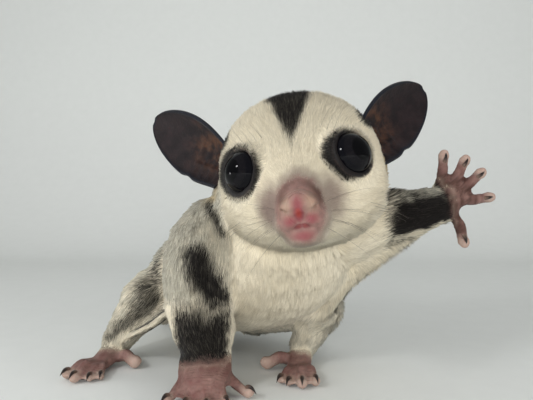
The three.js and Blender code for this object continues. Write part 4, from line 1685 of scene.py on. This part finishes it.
class Markings:
    """Where the coat is cream, grey, dark or ochre, and where the skin is bare."""

    DORSAL = ((8, 16.5, 56), (6.2, 19.5, 52.5), (3.2, 22.8, 49.5), (0.4, 26.3, 46.3),
              (-2.6, 28.2, 43.5), (-6.3, 30.6, 40), (-13.4, 36.7, 37.3), (-20, 44, 33),
              (-26, 50.5, 26), (-30, 55, 18), (-30, 59, 12))
    COLLAR = ((-13.4, 9.5, 42), (-12.2, 6.8, 39.8), (-11.2, 5.2, 38), (-10.4, 4.2, 36))
    UPPER_ARM_PATCH = ((-15.2, 0, 30.5), (-14.4, 0, 28), (-12.8, 0, 25), (-11.4, 0, 22))
    FLANK = ((-27.5, 26, 25), (-29, 22, 20), (-31, 20.5, 14.5), (-35, 20.5, 10.5), (-39.5, 20, 7.5))
    RIGHT_RIM = ((-18, 4, 19), (-24, 8, 15.5), (-30, 13, 11.5), (-35, 18, 8), (-39, 22, 5.5))

    def __init__(self, skin: Skin) -> None:
        """Takes the skin's points, as drawn and in the head's frame, and finds the bare paws.

        Args:
            skin: the skin, shaped and with its lie.
        """
        self.skin = skin
        self.on = skin.on
        self.points = skin.points
        self.head = to_head(skin.points)
        self.rough = 0.5 * waves(self.points, 1.3, 4) + 0.5 * waves(self.points, 2.6, 9)
        self.facing = skin.normal
        near = skin.spread(skin.on("hand", "foot"), 360)
        self.naked = rise(near + 0.3 * self.rough * (1 - near), 0.42, 0.93)
        rings = np.minimum(*(eye.ring(self.head) for eye in skin.eyes))
        self.lids = 1 - rise(rings, 1.15, 1.3)

    def spot(self, gap: Array, rough: float, inner: float, outer: float) -> Array:
        """1 nearer than the inner distance, 0 past the outer one, with a ragged edge."""
        return 1 - rise(gap + rough * self.rough, inner, outer)

    def gap_from(self, line: Line, count: int) -> Array:
        """How far each point is from a smooth line of so many points."""
        return path_distance(self.points, curve_through(line, count))[0]

    def stripe(self) -> Array:
        """The dark wedge from the crown down the forehead, and the stripe back over the nape.

        Returns:
            A share for each point of the skin.
        """
        x, y, z = self.head.T
        levels = (10.6, 12.2, 14.6, 16.9, 19.6, 22.3, 24.0)
        front = np.interp(z, levels, (-0.5, 0.4, 1.35, 2.35, 3.4, 4.6, 5.3))
        back = np.interp(y, (22.0, 30.0, 38.0), (5.3, 4.4, 3.0))
        half = np.where(y < 22, np.minimum(front, 5.3), back) + 0.25 * self.rough
        middle = np.interp(z, (12, 16, 23), (-0.45, 0.05, 0.2))
        upper = rise(z, 8, 10.5) * (0.7 + 0.22 * rise(z, 11, 17))
        return (1 - rise(np.abs(x - middle) - half, -1.3, 1.2)) * upper * self.on("head", "neck")

    def dorsal(self) -> Array:
        """The dark stripe down the back, to the root of the tail."""
        gap, along = path_distance(self.points, curve_through(self.DORSAL, 40))
        return 1 - rise(gap - (2.6 - 1.2 * along + 0.4 * self.rough), -0.8, 0.9)

    def eye_rings(self) -> Array:
        """The dark surround of each eye, longer toward the inner top and the outer bottom.

        Returns:
            A share for each point of the skin.
        """
        total = np.zeros(len(self.points))
        for eye in self.skin.eyes:
            outward, high = (1.7, 5.65) if eye.side is Side.RIGHT else (0.0, 5.3)
            away = self.head - eye.centre - (outward * eye.side.value, 0, 0.3)
            reach = np.hypot(away[:, 0] / 5.2, away[:, 2] / high)
            front = 1 - rise(away[:, 1], 4.5, 8.0)
            total = np.maximum(total, front * self.spot(reach, 0.03, 0.80, 1.20))
        return total

    def ear_spots(self) -> tuple[Array, Array]:
        """Dark fur over and behind each ear's root, and ochre fur under it.

        Returns:
            The dark's shares and the ochre's, for each point of the skin.
        """
        dark, ochre = np.zeros(len(self.points)), np.zeros(len(self.points))
        for ear in self.skin.ears:
            above, below = (ear.at(np.array(u), np.array(0.10)) for u in (0.02, 0.98))
            over = self.spot(gap_to(self.head, above), 0.5, 2.2, 4.0)
            behind = self.spot(gap_to(self.head, below + (0, 3.5, -5)), 0.9, 1.8, 4.4)
            under = self.spot(gap_to(self.head, below + (0, -1.5, -1)), 0.5, 2.0, 4.2)
            dark = np.maximum.reduce([dark, over, 0.85 * behind * self.on("head")])
            ochre = np.maximum(ochre, 0.8 * under)
        ruff = 0.8 * self.spot(gap_to(self.points, RUFF_SPOT), 0.8, 1.0, 3.4)
        beside = 0.75 * self.spot(gap_to(self.points, SHOULDER_RUFF), 1.6, 1.8, 4.6)
        return np.maximum.reduce([dark, ruff, beside]), ochre

    def grey(self) -> Array:
        """The grey of the back, the flanks and the outer legs, and painted shade in grey on the chest's
        sides and the left membrane.

        Returns:
            A share for each point of the skin.
        """
        facing = self.facing @ unit(np.array((-0.35, 0.75, 0.55)))
        trunk = rise(facing + 0.15 * self.rough, -0.15, 0.5)
        front = 0.45 + 0.35 * rise(self.facing @ unit(np.array((-0.9, -0.1, 0.2))), -0.2, 0.8)
        grey = trunk * self.on("chest", "belly", "rump")
        grey += 0.75 * trunk * self.on("upper_arm_left")
        mottled = np.maximum(0.75 * trunk, front + 0.15 * self.rough)
        grey += mottled * self.on("neck", "upper_arm_right")
        grey += (0.5 + 0.25 * self.rough) * self.on("thigh", "shank")
        grey += 0.85 * rise(self.facing[:, 2], 0.1, 0.6) * self.on("forearm_left")
        # painted shade: grey on the left membrane and on the chest's sides
        grey += 0.35 * self.on("membrane_left")
        grey += 0.25 * rise(np.abs(self.facing[:, 0]), 0.35, 0.9) * self.on("chest")
        grey += self.on("tail")
        nape = rise(self.head[:, 1] + self.rough, 23, 33) * rise(self.head[:, 2], -4, 6)
        crown = 0.3 * rise(self.head[:, 2] - 0.3 * self.head[:, 0], 4, 15)
        return np.clip(grey + np.maximum(0.8 * nape, crown) * self.on("head"), 0, 1)

    def right_arm(self) -> Array:
        """The blotch on the right upper arm and the patch on the forearm, soft at their edges.

        Returns:
            A share for each point of the skin.
        """
        flat = self.points * (1, 0, 1)
        gap, _ = path_distance(flat, curve_through(self.UPPER_ARM_PATCH, 16))
        front = rise(-self.facing[:, 1], 0.0, 0.35) * (self.points[:, 1] < 9)
        blotch = 0.95 * front * self.spot(gap, 1.0, 0.6, 6.0)
        x, _, z = self.points.T
        patch = 0.94 * self.spot(np.abs(x + 14.2), 0.5, 4.4, 8.0) * self.spot(z, 0.8, 16.0, 25.0)
        patch *= 1 - 0.15 * self.spot(np.hypot(x + 13.0, z - 18), 0.5, 0.4, 3.6)
        patch *= rise(-self.facing[:, 1] - 0.4 * self.facing[:, 0], -0.35, 0.1)
        collar = 0.8 * self.spot(self.gap_from(self.COLLAR, 12), 0.7, 0.2, 2.2)
        arm = self.on("upper_arm_right", "forearm_right", "hand_right", "neck")
        return np.maximum.reduce([blotch, patch, collar]) * arm

    def left_arm(self) -> Array:
        """The dark outer side of the raised left forearm, with a paler upper fringe.

        Returns:
            A share for each point of the skin.
        """
        near = rise(self.points[:, 0] + 0.7 * self.rough, 24.2, 29.8)
        side = rise(-self.facing[:, 1] - 0.35 * self.facing[:, 2], -0.4, 0.1)
        upper = 1 - 0.6 * rise(self.facing[:, 2] + 0.25 * self.rough, 0.35, 0.9)
        under = 1 - rise(-self.facing[:, 2] + 0.12 * self.rough, 0.65, 0.98)
        return near * side * upper * under * self.on("forearm_left", "upper_arm_left", "hand_left")

    def right_flank(self) -> Array:
        """The streaky dark along the right membrane and the lower thigh, cream at the free edge.

        Returns:
            A share for each point of the skin.
        """
        band = rise(self.gap_from(self.RIGHT_RIM, 30) + 0.6 * self.rough, 1.3, 2.6)
        fold = band * self.skin.spread(self.on("membrane_right"), 40)
        leg = self.spot(self.gap_from(self.FLANK, 24), 1.3, 1.2, 6.2)
        leg *= 1 - rise(self.facing[:, 1], -0.3, 0.5)
        leg *= self.on("thigh_right", "shank_right", "belly", "foot_right")
        return np.maximum(0.9 * fold, 0.68 * leg * band)

    def tail_tip(self) -> Array:
        """The dark end of the tail."""
        return rise(self.points[:, 0] + 1.2 * self.rough, -8, 6) * self.on("tail_3", "tail_4")

    def marks(self) -> Array:
        """The four coat markings for each point of the skin: grey, dark, ochre, mauve.

        Returns:
            Four shares for each point.
        """
        spots, ochre = self.ear_spots()
        parts = (self.stripe(), self.dorsal(), self.eye_rings(), spots, self.right_arm(),
                 self.left_arm(), self.right_flank(), self.tail_tip())
        dark = np.maximum.reduce(parts) * (1 - rise(self.naked, 0.75, 1.0))
        return np.clip(columns(self.grey(), dark, ochre, self.mauve()), 0, 1)

    def mauve(self) -> Array:
        """The dusky tone on the whisker pads and beside the nose, darker on the animal's right, and thin
        fur round the mouth with painted shade round the muzzle's edge.

        Returns:
            A share for each point of the skin.
        """
        x, y, z = self.head.T
        side = self.spot(np.hypot((np.abs(x) - 5.4) / 3.4, (z - 0.2) / 4.6), 0.12, 0.3, 1.4)
        # painted shade round the muzzle's edge, where thin fur also shows the skin
        around = self.spot(np.hypot(x / 5.7, (z + 0.9) / 7.2), 0.06, 0.85, 1.2)
        dark_tone_and_shade = np.maximum(np.where(x < 0, 0.95, 0.8) * side, 0.8 * around)
        return dark_tone_and_shade * (1 - rise(y, 9, 13)) * self.on("head", "nose", "lower_jaw")

    def bare(self) -> Array:
        """Where the skin is bare, where it pales at the digits' tips, and its creases.

        Returns:
            Four shares for each point of the skin, the last for the lids.
        """
        x, y, z = self.head.T
        tip = self.spot(np.hypot(x / 4.9, (z + 0.6) / 6.4), 0.05, 0.82, 1.16) * (1 - rise(y, 6.5, 8.5))
        tip *= self.on("head", "nose", "lower_jaw")
        bare = np.maximum.reduce([tip, self.naked, self.lids])
        return np.clip(columns(bare, 0.65 * self.tips(), self.skin.crease, 4 * self.lids), 0, 1)

    def tips(self) -> Array:
        """1 on the digits' fleshy tips, 0 a little way back from them.

        Returns:
            A share for each point of the skin.
        """
        pale = np.zeros(len(self.points))
        for paw in PAWS:
            for _, _, end, radius in paw.fingers():
                gap = gap_to(self.points, paw.drawn(end))
                pale = np.maximum(pale, self.spot(gap, 0.3, 0.7 * radius, 2.3 * radius))
        return pale

    def tint(self) -> Array:
        """The bare skin's tints: rosy, tan, dark tone with painted shade, and wet.

        Returns:
            Four shares for each point of the skin.
        """
        x, _, z = self.head.T
        relief = Relief()
        muzzle = 1 - rise(gap_to(self.head, (0, 1, -2)), 6, 9)
        side = np.abs(x)
        lips = bell(side - 1.9, 1.5) * bell(z + 2.4, 1.3)
        lower = 0.42 * bell(x, 2.4) * bell(z + 5.5, 1.3)
        centre = 0.95 * bell(x + 0.2, 0.95) * bell(z + 1.2, 1.5)
        halo = 0.5 * bell(x + 0.2, 1.6) * bell(z - 0.2, 2.0)
        gaps, places = zip(*(path_distance(self.head, path) for path in relief.both(relief.mouth)))
        near = np.where(gaps[0] < gaps[1], places[0], places[1])
        mouth = bell(np.minimum(*gaps), 0.45) * (1 - rise(near, 0.15, 0.55))
        rosy = muzzle * np.maximum.reduce([0.5 * lips, lower, centre, halo, mouth])
        tan = muzzle * bell(side - 2.35, 1.2) * bell(z - 0.45, 1.7)
        # painted shade round the nose's bridge, stronger on the animal's left, in the nostrils and along
        # the mouth's line
        arc, _ = path_distance(self.head * (1, 0, 1), curve_through(relief.arc, 24))
        bridge_shade = (0.6 + 0.3 * rise(x, 0, 3.6)) * bell(arc, 1.15)
        nostril_shade = 0.35 * relief.near(self.head, relief.nostril, 0.5)
        dark_tone_and_shade = np.maximum(muzzle * np.maximum.reduce([bridge_shade, nostril_shade, 0.65 * mouth]), self.lids)
        wet = muzzle * (1 - rise(np.hypot(x / 3.6, (z + 0.5) / 4.6), 0.6, 1.0))
        wet = np.maximum(wet, 0.3 * self.lids)
        # brown toward each wrist, made darker with painted shade in the digits' creases
        brown = 0.35 * self.on("foot")
        for paw, most, fading, start in ((PAWS[1], 1.05, 0.75, 0.35), (PAWS[0], 0.7, 0.4, 0.4)):
            gap = gap_to(self.points, paw.wrist) / paw.length
            brown += (most - fading * rise(gap, start, 1.0)) * self.on(paw.name)
        brown *= (1 - 0.8 * self.tips()) * (0.75 + 0.5 * self.rough + 0.35 * self.skin.crease)
        rosy = np.maximum(rosy, 0.14 * self.naked * (1 + self.rough))
        return np.clip(columns(rosy, tan, np.maximum(dark_tone_and_shade, brown), wet), 0, 1)


@dataclass(frozen=True)
class CoatPiece:
    """One piece of the coat: the parts that it covers, its share of the tufts and its slot, which is not
    used.
    """

    name: str
    kinds: tuple[str, ...]
    slot: str
    back: tuple[float, float] = (-99, 999)  # how far back from the nose it reaches, in millimetres
    most: int = 46000


COAT_PIECES = (
    CoatPiece("coat_face", ("head", "lower_jaw"), "cream_coat", (-99, 17)),
    CoatPiece("coat_crown", ("head", "lower_jaw"), "cream_coat", (17, 24.5)),
    CoatPiece("coat_nape", ("head", "lower_jaw"), "cream_coat", (24.5, 999)),
    CoatPiece("coat_neck", ("neck",), "grey_coat"),
    CoatPiece("coat_chest", ("chest",), "cream_coat"),
    CoatPiece("coat_belly", ("belly", "membrane"), "grey_coat"),
    CoatPiece("coat_rump", ("rump",), "grey_coat"),
    CoatPiece("coat_arms", ("upper_arm", "forearm", "hand"), "dark_coat"),
    CoatPiece("coat_legs", ("thigh", "shank", "foot"), "grey_coat"),
    CoatPiece("coat_tail", ("tail",), "grey_coat"),
)


class Coat:
    """The coat: many thin tufts, each a closed wedge of four triangles, laid along the skin."""

    CORNERS = np.array(((0, 3, 2), (2, 3, 1), (0, 2, 1), (0, 1, 3)))
    CLUMP = 14  # tufts that lean together
    SOFT = 0.76  # how far a tuft is shaded as the skin under it lies
    PATCH = 0.0015  # half of a tuft's patch on the map
    SUNK = 0.08  # how deep its root lies under the skin, in millimetres
    PROUD = 0.22  # how far its back stands out, as a share of its width
    FLOOR_GAP = 0.03  # how near the floor it may come, in millimetres
    LOOSE_LIFT = 24  # how much more the loosest fur stands up, in degrees
    LOOSE_LENGTH = 1.8  # how much longer it is, in millimetres

    def __init__(self, skin: Skin) -> None:
        """Reads from the skin what the tufts need at their roots.

        Args:
            skin: the skin, marked and with its lie.
        """
        self.skin = skin
        self.finish = FurFinish().material()
        self.ruff = self._ruff()
        self.length = self._lengths()
        self.width = skin.fur_value("width")
        self.lift = skin.fur_value("lift") + self.LOOSE_LIFT * self.ruff
        self.crowd = self._crowding()

    def _lengths(self) -> Array:
        """The tufts' lengths, shortest round the nose and the eyes.

        Returns:
            Millimetres for each point of the skin.
        """
        head = to_head(self.skin.points)
        length = self.skin.fur_value("length")
        near = gap_to(head, NOSE_PAD)
        of_head = self.skin.on("head", "lower_jaw", "nose") > 0.5
        face = 0.55 + 0.085 * np.maximum(near - 4, 0)
        length = np.where(of_head, np.minimum(length * 1.3, face), length)
        for eye in self.skin.eyes:
            reach = eye.ring(head)
            length = np.minimum(length, 0.45 + 1.3 * np.maximum(reach - 1.05, 0))
        length *= 1 - 0.55 * rise(self.skin.bare[:, 0], 0.0, 0.7)
        return self.skin.spread(length + self.LOOSE_LENGTH * self.ruff, 3)

    def _ruff(self) -> Array:
        """How loose the fur is: most under the left ear and beside it, less along the jaw.

        Returns:
            A share for each point of the skin.
        """
        root = self.skin.ears[1].at(np.array(0.9), np.array(0.06))
        gap = (to_head(self.skin.points) - root - (0, 1.5, -4)) / (1, 1, 1.4)
        cheek = (1 - rise(np.linalg.norm(gap, axis=1), 2.5, 6.0)) * self.skin.on("head")
        shoulder = 1 - rise(gap_to(self.skin.points, SHOULDER_RUFF), 2.0, 6.0)
        _, back, high = to_head(self.skin.points).T
        jaw = 0.55 * rise(back, 12, 19) * (1 - rise(high, -3, 5)) * self.skin.on("head")
        return np.maximum.reduce([cheek, shoulder, jaw])

    def _crowding(self) -> Array:
        """How many tufts grow on a square millimetre, none on bare skin or behind an eye.

        Returns:
            A number for each point of the skin.
        """
        head = to_head(self.skin.points)
        crowd = self.skin.fur_value("crowd", 12) * (1 - rise(self.skin.bare[:, 0], 0.4, 1.0))
        for eye in self.skin.eyes:
            reach = eye.ring(head)
            behind = gap_to(head, eye.centre) < eye.radius + 0.45
            crowd = np.where((reach < 1.1) | behind, 0, crowd)
        return crowd

    def build(self) -> list[Object]:
        """Grows every piece of the coat."""
        return [self._grow(piece, seed) for seed, piece in enumerate(COAT_PIECES, 11)]

    def _roots(self, piece: CoatPiece, draw: np.random.Generator) -> tuple[Array, Array]:
        """Picks the tufts' roots on a piece's part of the skin.

        Args:
            piece: the piece to cover.
            draw: where chance comes from.

        Returns:
            The triangle of each root, and its three shares of that triangle.
        """
        skin = self.skin
        mine = np.array([name.startswith(piece.kinds) for name in FLESH])[skin.label]
        back = to_head(skin.points)[:, 1]
        mine &= (back >= piece.back[0]) & (back < piece.back[1])
        a, b, c = (skin.points[skin.faces[:, k]] for k in range(3))
        area = 0.5 * np.linalg.norm(np.cross(b - a, c - a), axis=1)
        weight = area * self.crowd[skin.faces].mean(axis=1) * mine[skin.faces[:, 0]]
        total = np.cumsum(weight)
        count = min(int(total[-1]), piece.most)
        ticks = (np.arange(count) + draw.random(count)) * total[-1] / count
        chosen = np.minimum(np.searchsorted(total, ticks), len(total) - 1)
        u, v = draw.random((2, count))
        fold = u + v > 1
        u, v = np.where(fold, 1 - u, u), np.where(fold, 1 - v, v)
        return chosen, columns(1 - u - v, u, v)

    def _grow(self, piece: CoatPiece, seed: int) -> Object:
        """One piece of the coat as an object.

        Args:
            piece: what to grow.
            seed: sets its chances.

        Returns:
            The piece.
        """
        draw = np.random.default_rng(seed)
        skin = self.skin
        chosen, shares = self._roots(piece, draw)
        corners = skin.faces[chosen]

        def at_root(values: Array) -> Array:
            """A value of the skin at each root."""
            return np.einsum("ij,ij...->i...", shares, values[corners])

        root = at_root(skin.points)
        normal = unit(at_root(skin.normal))
        lie = at_root(skin.lie)
        lie = unit(lie - np.sum(lie * normal, axis=1, keepdims=True) * normal)
        side = np.cross(normal, lie)
        count = len(root)
        wander = 0.2 * waves(root, 5, 21) + 0.1 * waves(root, 1.8, 22) + 0.1 * draw.normal(size=count)
        lie = unit(lie + wander[:, None] * side)
        side = np.cross(normal, lie)
        length = at_root(self.length) * draw.uniform(0.72, 1.18, count)
        width = at_root(self.width) * draw.uniform(0.75, 1.25, count)
        lift = np.radians(at_root(self.lift) * draw.uniform(0.6, 1.35, count))
        middle, tip = self._bend(root, normal, lie, length, lift)
        tip = self._clumped(root, tip, draw)
        roll = draw.normal(scale=0.45, size=count)
        flat = np.cos(roll)[:, None] * side + np.sin(roll)[:, None] * normal
        proud = np.cos(roll)[:, None] * normal - np.sin(roll)[:, None] * side
        sunk = root - self.SUNK * normal
        points = columns(
            sunk - 0.5 * width[:, None] * flat,
            sunk + 0.5 * width[:, None] * flat,
            middle + self.PROUD * width[:, None] * proud,
            tip,
        )
        points[..., 2] = np.maximum(points[..., 2], self.FLOOR_GAP)
        faces = (4 * np.arange(count)[:, None, None] + self.CORNERS).reshape(-1, 3)
        mesh = mesh_of(piece.name, points.reshape(-1, 3), faces)
        turned = columns(-flat, flat, proud, proud)
        soft = unit(self.SOFT * normal[:, None] + (1 - self.SOFT) * turned)
        mesh.normals_split_custom_set_from_vertices(soft.reshape(-1, 3).tolist())
        paint(mesh, "marks", np.repeat(at_root(skin.marks), 4, axis=0))
        paint(mesh, "strand", self._strand(draw.random((count, 3))))
        centre = np.einsum("ij,ijk->ik", shares, skin.face_map[chosen])
        self._lay_map(mesh, centre, faces)
        mesh.materials.append(self.finish)
        made = new_object(piece.name, mesh)
        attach(made, "root")
        LOG.info("%s: %d tufts", piece.name, count)
        return made

    @staticmethod
    def _bend(root: Array, normal: Array, lie: Array, length: Array, lift: Array) -> tuple[Array, Array]:
        """The middle and the tip of each tuft, which rises from the skin and bends back to it.

        Args:
            root: the tufts' roots.
            normal: the skin's outward directions there.
            lie: the ways that they lie.
            length: their lengths.
            lift: their angles from the skin, in radians.

        Returns:
            The middles and the tips.
        """

        def reach(share: float, angle: Array) -> Array:
            """A point this far along, at this angle from the skin."""
            way = np.cos(angle)[:, None] * lie + np.sin(angle)[:, None] * normal
            return root + (share * length)[:, None] * way

        return reach(0.42, 1.35 * lift), reach(1.0, 0.8 * lift)

    def _clumped(self, root: Array, tip: Array, draw: np.random.Generator) -> Array:
        """Tips drawn together in small locks.

        Args:
            root: the tufts' roots.
            tip: their tips.
            draw: where chance comes from.

        Returns:
            The drawn tips.
        """
        count = len(root)
        leaders = draw.choice(count, max(count // self.CLUMP, 1), replace=False)
        tree = KDTree(len(leaders))
        for number, leader in enumerate(leaders):
            tree.insert(root[leader], number)
        tree.balance()
        nearest = leaders[np.array([tree.find(point)[1] for point in root])]
        pull = draw.uniform(0.05, 0.5, count)[:, None]
        return tip + 0.6 * pull * (tip[nearest] - tip)

    @staticmethod
    def _strand(chances: Array) -> Array:
        """For each of a tuft's points: how near its tip, and the tuft's own three chance values."""
        tip = np.tile((0.0, 0.0, 0.5, 1.0), len(chances))
        return columns(tip, *np.repeat(chances, 4, axis=0).T)

    def _lay_map(self, mesh: Mesh, centre: Array, faces: Array) -> None:
        """Gives each tuft a small patch of the map at its root's place on the skin's.

        Args:
            mesh: the coat piece's mesh.
            centre: each root's place on the map.
            faces: the piece's triangles.
        """
        spots = self.PATCH * np.array(((-1, -1), (1, -1), (0, 0), (0, 1)))
        spread = (centre[:, None] + spots).reshape(-1, 2)
        layer = mesh.uv_layers.new(name="OFBake")
        layer.data.foreach_set("uv", np.clip(spread[faces.ravel()], 0, 1).ravel())


@dataclass(frozen=True)
class Lamp:
    """A square soft light, in metres and watts, seen in the eyes only where it is mirrored."""

    name: str
    place: Place
    size: float
    watts: float
    mirrored: bool = False

    def build(self, aim: Place) -> None:
        """Hangs the light and turns it.

        Args:
            aim: the place that it faces.
        """
        light = bpy.data.lights.new(self.name, "AREA")
        light.size = self.size
        light.energy = self.watts
        holder = bpy.data.objects.new(self.name, light)
        holder.location = self.place
        holder.rotation_euler = (Vector(aim) - Vector(self.place)).to_track_quat("-Z", "Y").to_euler()
        holder.visible_glossy = self.mirrored
        bpy.context.scene.collection.objects.link(holder)


@dataclass
class Studio:
    """Camera, lights and a plain pale floor that sweeps up behind."""

    camera_from_eyes: Place = (-6.4215, -107.2925, -7.54)
    focal_px: float = 507.0
    picture_px: float = 533.0
    sensor: float = 36.0
    middle: Place = (0, -0.02, 0.035)  # what the lights face, in metres
    lamps: tuple[Lamp, ...] = (
        Lamp("front", (-0.03, -0.50, 0.04), 0.3, 2.1),
        Lamp("key", (-0.32, -0.36, 0.34), 0.34, 0.4),
        Lamp("left", (-0.42, -0.26, 0.10), 0.22, 0.6),
        Lamp("right", (0.42, -0.26, 0.10), 0.22, 0.8),
        Lamp("top", (0.05, 0.10, 0.55), 0.5, 0.4),
        Lamp("glint", (-0.15, -0.19, 0.16), 0.03, 0.12, mirrored=True),
        Lamp("edge_glint", (-0.26, -0.08, 0.02), 0.03, 0.06, mirrored=True),
    )
    sky: Colour = (0.86, 0.87, 0.86)
    sky_strength: float = 0.30

    def build(self) -> None:
        """Sets up the whole studio."""
        self._camera()
        self._floor()
        self._lights()

    def _camera(self) -> None:
        """The camera, level, in front of the face and a little below it."""
        lens = bpy.data.cameras.new("camera")
        lens.sensor_width = self.sensor
        lens.lens = self.focal_px / self.picture_px * self.sensor
        lens.clip_start = 0.005
        holder = bpy.data.objects.new("camera", lens)
        holder.location = to_frame(EYES_DRAWN + np.array(self.camera_from_eyes))
        holder.rotation_euler = (math.pi / 2, 0, 0)
        bpy.context.scene.collection.objects.link(holder)
        bpy.context.scene.camera = holder

    def _floor(self) -> None:
        """A floor and a backdrop in one sheet with a round sweep between."""
        wide, front, back, high, sweep = 1.6, -0.8, 0.34, 0.9, 0.16
        profile = [(front, 0.0), (back - sweep, 0.0)]
        for step in range(1, 16):
            angle = step / 16 * math.pi / 2
            profile.append((back - sweep + sweep * math.sin(angle), sweep - sweep * math.cos(angle)))
        profile.append((back, high))
        points = [(side * wide, y, z) for y, z in profile for side in (-1, 1)]
        faces = [(2 * i, 2 * i + 1, 2 * i + 3, 2 * i + 2) for i in range(len(profile) - 1)]
        mesh = bpy.data.meshes.new("backdrop")
        mesh.from_pydata(points, [], faces)
        mesh.polygons.foreach_set("use_smooth", [True] * len(faces))
        mesh.materials.append(BackdropFinish().material())
        new_object("backdrop", mesh)

    def _lights(self) -> None:
        """Soft light from the front, above and both sides, and small ones that the eyes mirror."""
        for lamp in self.lamps:
            lamp.build(self.middle)
        world = bpy.data.worlds.new("studio")
        world.use_nodes = True
        background = world.node_tree.nodes["Background"]
        background.inputs["Color"].default_value = (*self.sky, 1)
        background.inputs["Strength"].default_value = self.sky_strength
        bpy.context.scene.world = world
        bpy.context.scene.view_settings.view_transform = "Standard"


def main() -> None:
    """Builds the animal and its studio, reporting each piece."""
    logging.basicConfig(level=logging.INFO, format="%(relativeCreated)7d %(message)s")
    Studio().build()
    eyes = [Eye(side) for side in Side]
    ears = [Ear(Side.RIGHT, lean=14, lift=33, sink=0.94), Ear(Side.LEFT, lean=25, lift=25, sink=0.84)]
    skin = Skin(eyes, ears)
    skin.build()
    LOG.info("skin: %d points, %d triangles", len(skin.points), len(skin.faces))
    for maker in (*eyes, *ears, *(Claws(paw) for paw in PAWS), Whiskers()):
        LOG.info("%s", maker.build().name)
    Coat(skin).build()


if __name__ == "__main__":
    main()
